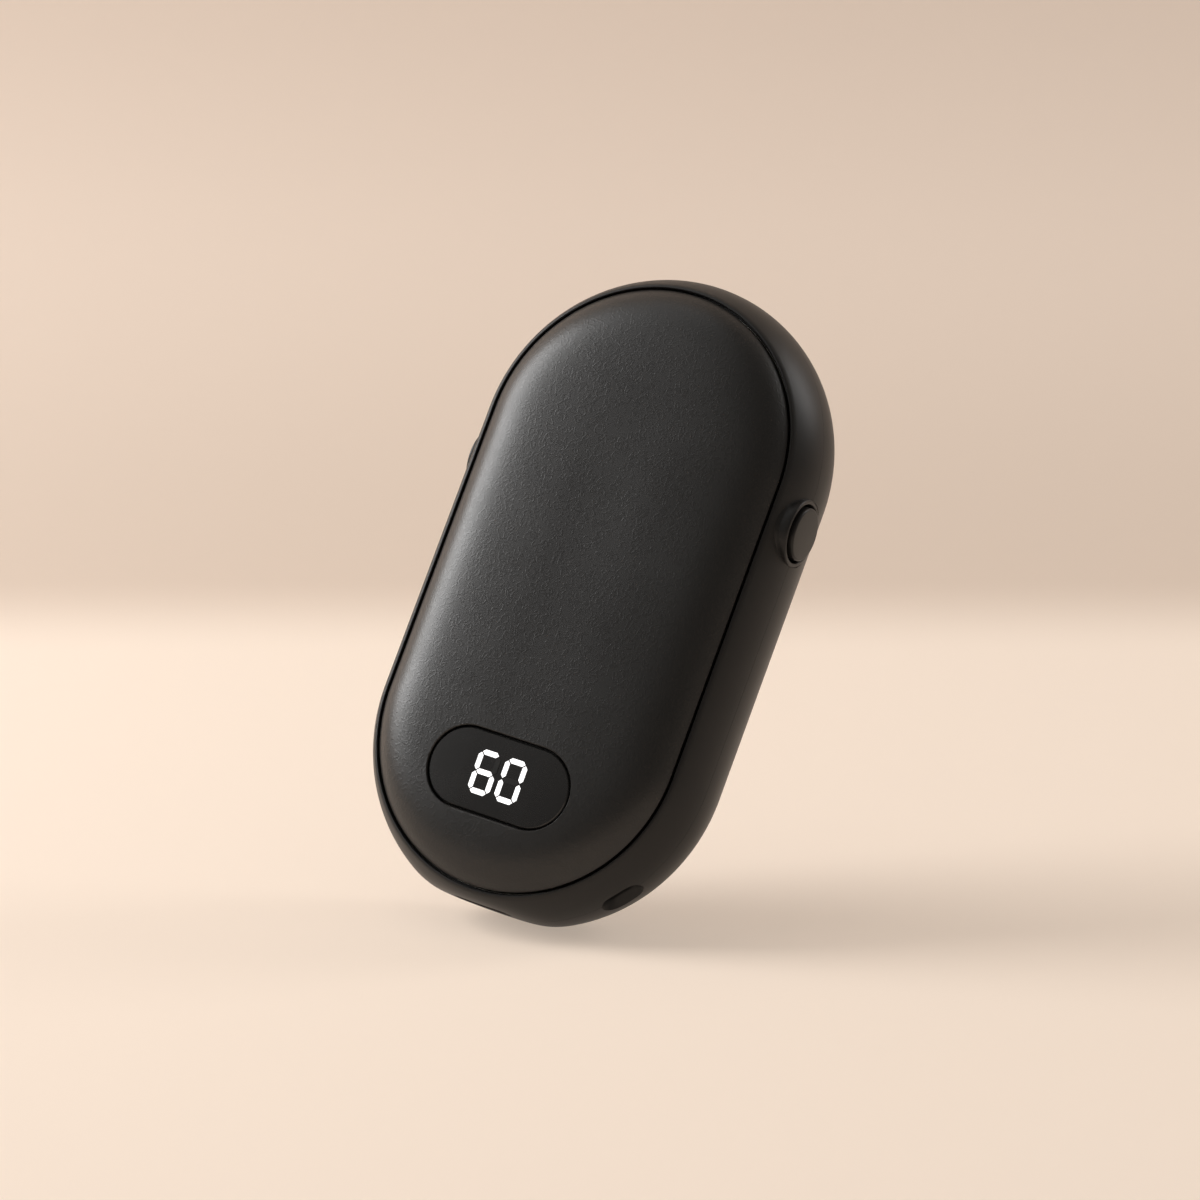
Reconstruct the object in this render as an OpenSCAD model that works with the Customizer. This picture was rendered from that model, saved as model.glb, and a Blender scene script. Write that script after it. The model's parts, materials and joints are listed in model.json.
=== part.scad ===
// Rechargeable hand warmer, upright as it is held up.
// +Z is the long axis with the display at the low end, the front faces -Y and +X is the right-hand side.
// The modules below are written lying on the back, with the front upwards, and stood() stands them up.

/* [Body] */
// Length of the body over both round ends
body_l = 100; // [96:1:112]
// Width of the body without the buttons
body_w = 56; // [55:1:60]
// Thickness of the body from crown to crown
body_t = 25; // [24.5:0.5:28]
// Height of each panel seam above the middle plane
seam_h = 8.2; // [8.1:0.1:8.6]
// How far the rim at a seam lies inside the widest line
rim_inset = 2.8; // [2.6:0.05:3]
// Depth of the flat that is cut across the lower tip
tip_flat = 1.4; // [1.1:0.1:1.5]
// Width of the rim outside the seam groove
rim_land = 0.45; // [0.35:0.05:0.6]
// Bevel on the outer edge of the rim
rim_bevel = 0.15; // [0.1:0.05:0.2]
// Thickness of the housing walls
wall = 1.8; // [1.7:0.1:2]
// Gap between the two housings
parting_gap = 0.1; // [0.05:0.05:0.2]
// Height of the strips that line the housings up
align_h = 1; // [0.6:0.1:1.2]
// Thickness of those strips
align_t = 0.9; // [0.7:0.1:1.1]
// Length of those strips
align_l = 24; // [18:1:24]

/* [Panels] */
// Thickness of the front and rear panels
panel_t = 1.6; // [1.4:0.1:1.8]
// Gap between a panel and its rim
seam_gap = 0.3; // [0.2:0.05:0.4]
// Depth of the rebate that holds a panel
rebate_d = 1.7; // [1.6:0.1:1.8]
// Width of a panel's standing edge
flange_w = 1.75; // [1.5:0.05:1.9]
// Width of the ledge under a panel
ledge_w = 2.4; // [2.3:0.1:2.6]
// Thickness of the ledge
ledge_t = 1.2; // [1:0.1:1.3]
// Thickness of the adhesive ring on the ledge
tape_t = 0.15; // [0.1:0.05:0.2]
// Half width of the flat along the top of each crown
flat_r = 5; // [4:0.5:6]

/* [Display] */
// Distance of the display's middle from the lower tip
display_rise = 18.25; // [17.75:0.25:19]
// Width of the display lens
lens_w = 23.6; // [21:0.2:24]
// Height of the display lens
lens_h = 12; // [11.5:0.5:12.5]
// Thickness of the lens at the crown
lens_t = 1.9; // [1.7:0.1:2]
// How far the lens lies under the panel surface
lens_sink = 0.15; // [0.1:0.05:0.25]
// Gap round the lens
lens_gap = 0.25; // [0.15:0.05:0.35]
// Width of the shelf under the lens
shelf_w = 1; // [0.8:0.1:1.2]
// Thickness of the shelf and of the wall round it
shelf_t = 1.2; // [1:0.1:1.4]
// Thickness of the adhesive ring under the lens
lens_tape_t = 0.1; // [0.05:0.05:0.15]
// Height of a digit
digit_h = 6.7; // [6:0.1:7]
// Width of a digit
digit_w = 3.8; // [3.4:0.1:4]
// Distance between the two digits
digit_pitch = 4.6; // [4.5:0.1:5]
// Width of a digit's strokes
stroke = 0.85; // [0.7:0.05:0.95]
// Gap between neighbouring strokes
stroke_gap = 0.14; // [0.1:0.02:0.2]
// Clearance of a stroke in its window
stroke_clear = 0.05; // [0.03:0.01:0.06]
// Thickness of the plate that joins the strokes
guide_t = 0.9; // [0.7:0.1:1]
// Margin of that plate round the digits
guide_margin = 1.1; // [0.8:0.1:1.3]

/* [Buttons] */
// Height of the parting plane and of the right-hand button's axis above the middle plane
button_h = 2; // [1.8:0.1:2.2]
// How far the left-hand button's axis lies behind the middle plane
mode_back = 0.8; // [0.6:0.1:1]
// Distance of the right-hand power button from the upper end
power_drop = 32.8; // [31:0.2:34]
// Distance of the left-hand mode button from the upper end
mode_drop = 35.2; // [34:0.2:37]
// Radius of a button cap
cap_r = 4.05; // [3.8:0.05:4.1]
// Gap between a cap and its collar
cap_gap = 0.45; // [0.3:0.05:0.5]
// Thickness of a collar
collar_t = 0.7; // [0.55:0.05:0.75]
// How far a collar stands out of the widest line
collar_out = 0.1; // [0.1:0.05:0.4]
// How far a cap stands out of the widest line
cap_out = 0.75; // [0.7:0.05:1.1]
// Rounding of the caps and collars
button_round = 0.35; // [0.2:0.05:0.4]
// Travel of a button
travel = 0.4; // [0.3:0.05:0.4]
// Room left under a pressed cap
cap_rest = 0.15; // [0.1:0.05:0.2]
// Clearance of a collar in its recess
collar_clear = 0.05; // [0.03:0.01:0.06]
// Radius of a cap's stem
stem_r = 1.6; // [1.4:0.1:1.6]
// Clearance round a stem
stem_clear = 0.3; // [0.25:0.05:0.35]
// Thickness of the wall behind a collar
pad_t = 1.8; // [1.5:0.1:1.9]
// Radius of the snap lip on a stem
snap_r = 2.1; // [2:0.05:2.15]
// Thickness of the snap lip
snap_t = 0.6; // [0.5:0.05:0.7]
// Gap between the snap lip and the wall
snap_gap = 0.1; // [0.1:0.05:0.15]

/* [Switches] */
// Width of a switch
switch_w = 6; // [5:0.1:6.2]
// Depth of a switch
switch_d = 3.2; // [2.8:0.1:3.4]
// Height of a switch
switch_h = 3.5; // [3.4:0.1:3.6]
// Radius of a switch plunger
plunger_r = 0.9; // [0.7:0.05:0.9]
// Clearance round a plunger
plunger_clear = 0.3; // [0.2:0.05:0.3]
// Length of a plunger inside its switch
plunger_in = 1; // [0.8:0.1:1.2]

/* [Circuit board] */
// Thickness of the board
pcb_t = 1; // [0.8:0.1:1.1]
// Gap between the board's edge and the ledge, seen from the front
pcb_gap = 1; // [0.9:0.1:1.3]
// How far the board reaches past the centre of the upper end
pcb_over = 3; // [0:0.5:4]
// Radius of a board post
post_r = 1.8; // [1.6:0.1:1.9]
// Distance of the board posts from the board's edge
post_inset = 2; // [1.9:0.1:2.2]
// Place of the side posts along the body
post_y = 4; // [2:0.5:6]
// Angle of the end posts from the lower tip
post_a = 30; // [28:1:34]
// Height of a board post
post_h = 2.2; // [2:0.1:2.3]
// Radius of a board screw's shank
pcb_screw_r = 0.6; // [0.5:0.05:0.7]
// Length of a board screw under its head
pcb_screw_l = 2.6; // [2.2:0.1:2.8]
// Radius of a board screw's head
pcb_head_r = 1.2; // [1:0.1:1.3]
// Height of a board screw's head
pcb_head_h = 0.7; // [0.5:0.1:0.8]

/* [Socket] */
// Width of the socket shell
usb_w = 8.94; // [8.8:0.02:9]
// Height of the socket shell
usb_h = 3.2; // [3.1:0.02:3.26]
// Length of the socket shell
usb_l = 7.3; // [6.8:0.1:7.8]
// Thickness of the shell metal
usb_wall = 0.3; // [0.25:0.05:0.35]
// How far the socket's mouth lies inside the lower tip
usb_recess = 1.2; // [0.9:0.1:1.4]
// Clearance of the shell in the housing
usb_clear = 0.15; // [0.1:0.05:0.2]
// Thickness of the contact tongue
tongue_t = 0.7; // [0.6:0.05:0.8]
// Width of the contact tongue
tongue_w = 6.7; // [6.5:0.1:6.8]
// Length of the block that holds the tongue
tongue_block = 2; // [1.6:0.1:2.4]
// Gap between the tongue's tip and the socket's mouth
tongue_back = 0.8; // [0.6:0.1:1]

/* [Strap eye] */
// Angle of the strap eye from the lower tip
eye_a = 48; // [46:1:52]
// How far the strap eye's centre lies in front of the middle plane
eye_h = 1.3; // [1.1:0.1:1.5]
// Length of the slot
eye_l = 5.4; // [5:0.1:5.8]
// Width of the slot
eye_w = 2.9; // [2.7:0.1:3.1]
// Depth of the slot
eye_d = 4.6; // [4.2:0.1:5]
// How much the mouth flares on each side
eye_flare = 0.65; // [0.5:0.05:0.75]
// Depth of the flare
eye_flare_d = 1.3; // [1:0.1:1.5]
// Thickness of the cup round the slot
cup_t = 1.1; // [1:0.1:1.2]
// Radius of the strap bar
bar_r = 0.6; // [0.5:0.05:0.7]
// Depth of the strap bar's axis
bar_d = 2.6; // [2.4:0.1:2.8]
// Length of bar held in each side of the cup
bar_seat = 0.8; // [0.6:0.05:0.9]
// Clearance round the bar's ends
bar_clear = 0.05; // [0.03:0.01:0.08]

/* [Battery] */
// How far the cell reaches past the centre of the upper end
cell_over = 14; // [11:0.5:14.5]
// How far the cell stops short of the centre of the lower end
cell_short = 2; // [1.5:0.5:4]
// Room between the cell and a case screw boss
cell_side = 2.2; // [1.6:0.1:3]
// Thickness of the cell
cell_t = 7.6; // [7:0.1:7.8]
// Rounding of the cell's corners
cell_round = 2.5; // [2:0.1:3]
// Thickness of the cradle plate
cradle_t = 1; // [0.8:0.1:1.1]
// Height of the cradle's side rails
rail_h = 4; // [3:0.1:5]
// Thickness of the side rails
rail_t = 1.1; // [0.9:0.1:1.2]
// Gap between the cell and a rail
rail_gap = 0.2; // [0.1:0.05:0.25]

/* [Heating] */
// Thickness of a heat plate
plate_t = 0.6; // [0.5:0.05:0.8]
// Thickness of a heater film
film_t = 0.25; // [0.2:0.05:0.3]
// Thickness of the insulation behind a film
insulation_t = 1.5; // [1:0.1:1.6]
// How far the heated layers stop short of the panel's inner wall
heat_inset = 5.75; // [5.5:0.25:7]
// Gap between the heated layers and the display
heat_gap = 1.2; // [1:0.1:1.6]
// Radius of a temperature sensor bead
bead_r = 0.7; // [0.6:0.05:0.7]
// Clearance round a bead in its pocket
bead_clear = 0.1; // [0.05:0.05:0.2]
// Thickness of a lead
lead_d = 1; // [0.8:0.05:1.1]

/* [Screws] */
// How far the case screws lie inside the ledge
screw_inset = 1.4; // [1.3:0.1:1.6]
// How far the upper case screws lie past the centre of the upper end
screw_over = 7.7; // [7:0.1:8.5]
// How far the lower case screws lie past the centre of the lower end
screw_under = 2.3; // [1.5:0.1:3]
// Radius of a case screw boss
boss_r = 2.5; // [2.4:0.05:2.6]
// Radius of a case screw's shank
screw_r = 0.85; // [0.75:0.05:0.9]
// Length of a case screw under its head
screw_l = 10; // [9:0.1:10.2]
// Radius of a case screw's head
head_r = 1.6; // [1.5:0.05:1.65]
// Height of a case screw's head
head_h = 1.1; // [0.9:0.05:1.2]
// Depth of the recess for a screw's head
head_sink = 1.6; // [1.5:0.05:1.7]
// Clearance of a screw in its thread hole
thread_clear = 0.05; // [0.03:0.01:0.08]
// Clearance of a screw where it passes freely
free_clear = 0.2; // [0.15:0.05:0.25]

/* [Hidden] */
$fn = 64;

// Body section
over = 0.5;
half_w = body_w / 2;
spine = (body_l + tip_flat) / 2 - half_w;
spine_low = spine + tip_flat / 2;
spine_high = spine - tip_flat / 2;
side_arc = (rim_inset * rim_inset + seam_h * seam_h) / (2 * rim_inset);
arc_c = half_w - side_arc;
rebate_r = half_w - rim_inset - rim_land;
panel_r = rebate_r - seam_gap;
ledge_top = seam_h - rebate_d;
ledge_bot = ledge_top - ledge_t;
ledge_in = rebate_r - ledge_w;
front_low = button_h + parting_gap / 2;
rear_low = parting_gap / 2 - button_h;
tip_w_share = 0.35;

// Panel section
crown_share = 0.3;
stub_share = 0.12;
edge_power = 8;
crown_steps = 12;
flat_share = 0.75;
flat_in = flat_r / 2;
crown_h = body_t / 2;
inner_r = panel_r - flange_w;
inner_base = seam_h - panel_t / 2;
inner_h = crown_h - panel_t;
flange_low = ledge_top + tape_t;

// Stack from the cradle to the lens
screw_x = ledge_in - screw_inset;
screw_top = spine_high + screw_over;
screw_low = spine_low + screw_under;
cell_w = 2 * (screw_x - boss_r - cell_side);
cell_top = spine_high + cell_over;
cell_end = cell_short - spine_low;
cell_l = cell_top - cell_end;
cell_y = (cell_top + cell_end) / 2;
cell_low = cradle_t - ledge_bot;
cell_high = cell_low + cell_t;
cradle_r = ledge_in + ledge_w / 4;
pcb_r = ledge_in - pcb_gap;
pcb_top_y = spine_high + pcb_over;
post_at_r = pcb_r - post_inset;
pcb_low = button_h + switch_h / 2;
pcb_high = pcb_low + pcb_t;
chip_share = 0.16;
chip_t = pcb_t;
lens_low = crown_h - lens_sink - lens_t;
guide_low = lens_low - guide_t;
shelf_high = lens_low - lens_tape_t;
shelf_low = shelf_high - shelf_t;
display_drop = body_l / 2 - display_rise;
guide_w = digit_pitch + digit_w + 2 * guide_margin;
guide_h = digit_h + 2 * guide_margin;
heat_r = inner_r - heat_inset;
film_low = plate_t + film_t;
heat_back = inner_h - film_low - insulation_t;
heat_low_y = lens_h / 2 + lens_gap + shelf_t + heat_gap - display_drop;

// Buttons
power_y = body_l / 2 - power_drop;
mode_y = body_l / 2 - mode_drop;
mode_h = -mode_back;
floor_x = half_w - wall;
pad_x = floor_x - pad_t;
collar_r = cap_r + cap_gap + collar_t;
recess_r = collar_r + collar_clear;
stem_end = pad_x - snap_gap - snap_t;
head_low = floor_x + travel + cap_rest;
switch_x = pcb_r - switch_d;

// Colours
matte_black = [0.13, 0.13, 0.13];
side_black = [0.15, 0.15, 0.15];
gloss_black = [0.05, 0.05, 0.05];
white_light = [0.95, 0.95, 0.95];
bright_metal = [0.75, 0.75, 0.77];
board_green = [0.1, 0.35, 0.2];
film_amber = [0.8, 0.5, 0.15];
foam_grey = [0.4, 0.4, 0.42];
tape_white = [0.85, 0.85, 0.82];
cell_blue = [0.35, 0.45, 0.6];
lead_red = [0.7, 0.12, 0.1];

// Stands a lying shape up
module stood() {
    rotate([90, 0, 0]) children();
}

// Half width of the side at height h, with a wall of depth d taken off
function side_r(h, d = 0) = arc_c + sqrt((side_arc - d) * (side_arc - d) - h * h);

// Share of the crown's rise at a distance r from the centre line, where the crown ends at edge
function crown(r, edge) = let (q = max(0, (r - flat_r) / (edge - flat_r)))
    crown_share * (1 - q * q) + (1 - crown_share) * (1 - pow(q, edge_power));

// Points of a crown from inside its flat out to its edge
function crown_points(edge, low, high) = concat([[flat_in, high]], [
    for (i = [0:crown_steps])
        let (r = flat_r + (edge - flat_r) * sin(90 * i / crown_steps))
        [r, low + (high - low) * crown(r, edge)]]);

function reversed(list) = [for (i = [len(list) - 1:-1:0]) list[i]];

// Points up the side between two heights, with one at the widest line
function side_points(low, high, d, steps = 7) = let (start = max(low, 0)) concat(
    low < 0 ? [[side_r(low, d), low]] : [],
    [for (i = [0:steps]) let (h = start + (high - start) * i / steps) [side_r(h, d), h]]);

// Ring with this half section, swept round the centre line of the body
module lozenge(half_section) {
    for (turn = [0, 180]) translate([0, -tip_flat / 2, 0]) rotate([0, 0, turn]) translate([0, spine, 0]) {
        rotate_extrude(angle = 180) polygon(half_section);
        rotate([90, 0, 0]) linear_extrude(2 * spine) polygon(half_section);
    }
}

// Flat plate in the body's outline
module stadium_plate(r, low, t) {
    translate([0, 0, low]) linear_extrude(t) stadium(r);
}

module stadium(r) {
    translate([0, -tip_flat / 2]) {
        square([2 * r, 2 * spine], center = true);
        for (side = [-1, 1]) translate([0, side * spine]) circle(r);
    }
}

// Long slot outline, w along X and h along Y
module obround(w, h) {
    long = max(w, h) - min(w, h);
    turn = w > h ? 0 : 90;
    rotate(turn) square([long, min(w, h)], center = true);
    rotate(turn) for (side = [-1, 1]) translate([side * long / 2, 0]) circle(min(w, h) / 2);
}

module rounded_square(w, h, r) {
    square([w - 2 * r, h], center = true);
    square([w, h - 2 * r], center = true);
    for (x = [-1, 1], y = [-1, 1]) translate([x * (w / 2 - r), y * (h / 2 - r)]) circle(r);
}

// Slot along X that opens out over its last stretch, with its mouth at z = 0
module flared_slot(w, h, depth, flare, flare_depth) {
    long = w - h;
    grow = flare * (flare_depth + over) / flare_depth;
    translate([0, 0, -depth]) linear_extrude(depth + over) obround(w, h);
    for (side = [-1, 1]) translate([side * long / 2, 0, -flare_depth])
        cylinder(h = flare_depth + over, r1 = h / 2, r2 = h / 2 + grow);
    rotate([90, 0, 90]) linear_extrude(long, center = true) polygon([
        [-h / 2, -flare_depth], [h / 2, -flare_depth],
        [h / 2 + grow, over], [-h / 2 - grow, over]]);
}

// Half section of one housing, from its parting plane up to its rim
function housing_section(low) = concat(
    side_points(low, seam_h - rim_bevel, 0),
    [[side_r(seam_h) - rim_bevel, seam_h], [rebate_r, seam_h], [rebate_r, ledge_top],
     [ledge_in, ledge_top], [ledge_in, ledge_bot]],
    reversed(side_points(low, ledge_bot, wall)));

// Outer part of the space inside the housing walls, up to the middle of the walls
module inside_skin(low) {
    lozenge(concat(
        [[half_w / 2, low]], side_points(low, ledge_top, wall / 2), [[half_w / 2, ledge_top]]));
}

// Places of the case screws
module at_case_screws() {
    for (side = [-1, 1], y = [screw_top, -screw_low]) translate([side * screw_x, y, 0]) children();
}

// Places of the board posts, each turned to face the rim
module at_board_posts() {
    for (side = [0, 1]) mirror([side, 0, 0]) translate([post_at_r, post_y, 0]) children();
    for (side = [-1, 1]) translate([0, -spine_low, 0]) rotate([0, 0, side * post_a - 90])
        translate([post_at_r, 0, 0]) children();
}

// The right-hand button's axis, or the left-hand one's, with +Z outwards and the side's widest line at half_w
module at_button(side, y, h) {
    translate([0, y, h]) rotate([0, side * 90, 0]) children();
}

// The strap eye, with +Z outwards and X along the rim
module at_eye() {
    translate([0, -spine_low, eye_h]) rotate([0, 0, eye_a - 90]) translate([half_w, 0, 0])
        rotate([90, 0, 90]) children();
}

// The socket, with +Z out of the lower tip
module at_socket() {
    translate([0, -body_l / 2, pcb_low - usb_h / 2]) rotate([90, 0, 0]) children();
}

// Solid wall round the strap eye
module eye_cup() {
    at_eye() translate([0, 0, -eye_d - cup_t]) linear_extrude(eye_d + cup_t + over)
        obround(eye_l + 2 * cup_t, eye_w + 2 * cup_t);
}

module eye_cut() {
    at_eye() flared_slot(eye_l, eye_w, eye_d, eye_flare, eye_flare_d);
    at_eye() translate([0, 0, -bar_d]) rotate([90, 0, 0])
        cylinder(h = eye_w + 2 * bar_seat + 2 * bar_clear, r = bar_r + bar_clear, center = true);
}

module strap_bar() {
    color(bright_metal) stood() at_eye() translate([0, 0, -bar_d]) rotate([90, 0, 0])
        cylinder(h = eye_w + 2 * bar_seat, r = bar_r, center = true);
}

module button_pad(side, y, h) {
    at_button(side, y, h) translate([0, 0, pad_x]) cylinder(h = half_w - pad_x, r = recess_r + collar_t);
}

// Places where the walls are thicker: behind the buttons, round the strap eye and behind the flat tip
module wall_pads() {
    tip_w = body_w * tip_w_share;
    intersection() {
        children();
        union() {
            button_pad(1, power_y, button_h);
            button_pad(-1, mode_y, mode_h);
            eye_cup();
            translate([-tip_w / 2, -body_l / 2, -body_t / 2]) cube([tip_w, wall, body_t]);
        }
    }
}

module button_cut(side, y, h) {
    at_button(side, y, h) translate([0, 0, floor_x]) cylinder(h = wall + over, r = recess_r);
    at_button(side, y, h) translate([0, 0, pad_x - over])
        cylinder(h = pad_t + 2 * over, r = stem_r + stem_clear);
}

// Openings that the two housings share
module wall_cuts() {
    button_cut(1, power_y, button_h);
    button_cut(-1, mode_y, mode_h);
    eye_cut();
    at_socket() flared_slot(usb_w + 2 * usb_clear, usb_h + 2 * usb_clear, 2 * wall, 2 * usb_clear, wall / 2);
    translate([-half_w, -body_l / 2 - tip_flat - over, -body_t / 2]) cube([body_w, tip_flat + over, body_t]);
}

module front_housing() {
    post_tab = ledge_in + over - post_at_r;
    thread_h = screw_l + head_sink - ledge_top - front_low;
    color(side_black) stood() difference() {
        union() {
            lozenge(housing_section(front_low));
            wall_pads() inside_skin(front_low);
            at_case_screws() translate([0, 0, front_low]) cylinder(h = ledge_top - front_low, r = boss_r);
            at_board_posts() translate([0, 0, pcb_high]) cylinder(h = post_h, r = post_r);
            at_board_posts() translate([0, -post_r, pcb_high])
                cube([post_tab, 2 * post_r, ledge_top - pcb_high]);
        }
        wall_cuts();
        at_case_screws() translate([0, 0, front_low - over])
            cylinder(h = thread_h + 2 * over, r = screw_r + thread_clear);
        at_board_posts() translate([0, 0, pcb_high - over])
            cylinder(h = pcb_screw_l - pcb_t + 2 * thread_clear + over, r = pcb_screw_r + thread_clear);
    }
}

module rear_housing() {
    color(side_black) stood() difference() {
        union() {
            mirror([0, 0, 1]) lozenge(housing_section(rear_low));
            wall_pads() mirror([0, 0, 1]) inside_skin(rear_low);
            align_strip(1, power_y);
            align_strip(-1, mode_y);
            at_case_screws() translate([0, 0, -ledge_top]) cylinder(h = ledge_top - rear_low, r = boss_r);
        }
        wall_cuts();
        at_case_screws() translate([0, 0, -ledge_top - over])
            cylinder(h = ledge_top - rear_low + 2 * over, r = screw_r + free_clear);
        at_case_screws() translate([0, 0, -ledge_top - over])
            cylinder(h = head_sink + over, r = head_r + free_clear);
    }
}

// Strip on the rear housing that stands up inside the front housing's wall, below the button at y
module align_strip(side, y) {
    top_y = y + spine_low - recess_r - collar_t - align_h;
    x = side_r(align_h - rear_low, wall) - parting_gap - align_t;
    mirror([side > 0 ? 0 : 1, 0, 0]) translate([x, top_y - align_l - spine_low, -rear_low - align_h]) {
        cube([align_t, align_l, 2 * align_h]);
        cube([2 * align_t, align_l, align_h]);
    }
}

module plain_panel() {
    lozenge(concat(
        crown_points(panel_r, seam_h, crown_h),
        [[panel_r, flange_low], [inner_r, flange_low]],
        reversed(crown_points(inner_r, inner_base, inner_h))));
    stadium_plate(flat_r * flat_share, inner_h, panel_t);
}

module front_panel() {
    color(matte_black) stood() difference() {
        union() {
            plain_panel();
            translate([0, -display_drop, shelf_low]) linear_extrude(lens_t / 2 + shelf_t)
                obround(lens_w + 2 * lens_gap + 2 * shelf_t, lens_h + 2 * lens_gap + 2 * shelf_t);
        }
        translate([0, -display_drop, shelf_high]) linear_extrude(lens_t + body_t)
            obround(lens_w + 2 * lens_gap, lens_h + 2 * lens_gap);
        translate([0, -display_drop, 0]) linear_extrude(body_t)
            obround(lens_w - 2 * shelf_w, lens_h - 2 * shelf_w);
    }
}

module rear_panel() {
    color(matte_black) stood() mirror([0, 0, 1]) plain_panel();
}

module panel_tape() {
    translate([0, 0, ledge_top]) linear_extrude(tape_t) difference() {
        stadium(panel_r);
        stadium(ledge_in);
    }
}

module front_panel_tape() {
    color(tape_white) stood() panel_tape();
}

module rear_panel_tape() {
    color(tape_white) stood() mirror([0, 0, 1]) panel_tape();
}

// Layer that lies under a panel between two depths
module heat_layer(from, to) {
    ceiling = crown_points(inner_r, inner_base, inner_h);
    rows = concat([for (point = ceiling) if (point[0] < heat_r) point[0]], [heat_r]);
    lozenge(concat(
        [for (r = rows) [r, lookup(r, ceiling) - from]],
        reversed([for (r = rows) [r, lookup(r, ceiling) - to]])));
    stadium_plate(flat_r * flat_share, inner_h - to, to - from);
}

// Insulation with a pocket for the temperature sensor
module insulation() {
    difference() {
        heat_layer(film_low, film_low + insulation_t);
        translate([-bead_r - bead_clear, -4 * bead_r - bead_clear, 0])
            cube([2 * bead_r + 2 * bead_clear, 5 * bead_r + 2 * bead_clear, body_t]);
    }
}

// The front layers stop above the display
module above_display() {
    intersection() {
        children();
        translate([-body_w, heat_low_y, 0]) cube([2 * body_w, body_l, body_t]);
    }
}

module front_heat_plate() {
    color(bright_metal) stood() above_display() heat_layer(0, plate_t);
}

module front_heater_film() {
    color(film_amber) stood() above_display() heat_layer(plate_t, film_low);
}

module front_insulation() {
    color(foam_grey) stood() above_display() insulation();
}

module rear_heat_plate() {
    color(bright_metal) stood() mirror([0, 0, 1]) heat_layer(0, plate_t);
}

module rear_heater_film() {
    color(film_amber) stood() mirror([0, 0, 1]) heat_layer(plate_t, film_low);
}

module rear_insulation() {
    color(foam_grey) stood() mirror([0, 0, 1]) insulation();
}

// Temperature sensor bead on the heater film, with its stub of lead
module sensor_bead() {
    translate([0, 0, inner_h - film_low - bead_r]) {
        sphere(bead_r);
        rotate([90, 0, 0]) cylinder(h = 4 * bead_r, r = bead_r / 2);
    }
}

module front_thermistor() {
    color(gloss_black) stood() sensor_bead();
}

module rear_thermistor() {
    color(gloss_black) stood() mirror([0, 0, 1]) sensor_bead();
}

// Everything under the lens surface
module under_lens_top() {
    lozenge(concat([[flat_in, 0]], [[panel_r, 0]],
        reversed(crown_points(panel_r, seam_h - lens_sink, crown_h - lens_sink))));
    stadium_plate(flat_r * flat_share, 0, crown_h - lens_sink);
}

// One stroke of a digit, lying along X
module stroke_shape(long, grow) {
    half = long / 2 - stroke_gap / 2 + grow;
    thick = stroke / 2 + grow;
    polygon([[-half, 0], [thick - half, thick], [half - thick, thick], [half, 0],
        [half - thick, -thick], [thick - half, -thick]]);
}

// All seven strokes of one digit
module digit(grow) {
    across = digit_w - stroke;
    up = (digit_h - stroke) / 2;
    for (row = [-1:1]) translate([0, row * up]) stroke_shape(across, grow);
    for (side = [-1, 1], row = [-1, 1]) translate([side * across / 2, row * up / 2]) rotate(90)
        stroke_shape(up, grow);
}

module both_digits(grow) {
    for (side = [-1, 1]) translate([side * digit_pitch / 2, -display_drop]) digit(grow);
}

module display_lens() {
    color(gloss_black) stood() difference() {
        intersection() {
            under_lens_top();
            translate([0, -display_drop, lens_low]) linear_extrude(body_t) obround(lens_w, lens_h);
        }
        translate([0, 0, lens_low - over]) linear_extrude(body_t) both_digits(stroke_clear);
    }
}

module lens_tape() {
    color(tape_white) stood() translate([0, -display_drop, shelf_high]) linear_extrude(lens_tape_t)
        difference() {
            obround(lens_w, lens_h);
            obround(lens_w - 2 * shelf_w, lens_h - 2 * shelf_w);
        }
}

module digit_light_guide() {
    color(white_light) stood() union() {
        translate([-guide_w / 2, -display_drop - guide_h / 2, guide_low]) cube([guide_w, guide_h, guide_t]);
        intersection() {
            under_lens_top();
            translate([0, 0, lens_low]) linear_extrude(body_t) both_digits(0);
        }
    }
}

module display_module() {
    color(gloss_black) stood() translate([-guide_w / 2, -display_drop - guide_h / 2, pcb_high])
        cube([guide_w, guide_h, guide_low - pcb_high]);
}

module main_pcb() {
    color(board_green) stood() difference() {
        intersection() {
            stadium_plate(pcb_r, pcb_low, pcb_t);
            translate([-body_w, pcb_top_y - body_l, 0]) cube([2 * body_w, body_l, body_t]);
        }
        at_case_screws() cylinder(h = body_t, r = boss_r + rail_gap);
        at_board_posts() cylinder(h = body_t, r = pcb_screw_r + free_clear);
    }
}

// Part on the back of the board, centred at x, y
module on_board(x, y, w, h, t) {
    translate([x - w / 2, y - h / 2, pcb_low - t]) cube([w, h, t]);
}

module controller_chip() {
    chip = pcb_r * 2 * chip_share;
    color(gloss_black) stood() on_board(-chip, -display_drop, chip, chip, chip_t);
}

module charger_chip() {
    chip = pcb_r * chip_share;
    color(gloss_black) stood() on_board(2 * chip, -display_drop, chip, chip, chip_t);
}

module power_inductor() {
    coil = pcb_r * chip_share * 3 / 2;
    color(foam_grey) stood() translate([5 * coil / 2, -display_drop, pcb_low - 2 * chip_t])
        linear_extrude(2 * chip_t) rounded_square(coil, coil, coil / 5);
}

module usb_c_shell() {
    color(bright_metal) stood() at_socket() translate([0, 0, -usb_recess - usb_l]) difference() {
        linear_extrude(usb_l) obround(usb_w, usb_h);
        translate([0, 0, usb_wall]) linear_extrude(usb_l) obround(usb_w - 2 * usb_wall, usb_h - 2 * usb_wall);
    }
}

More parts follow.
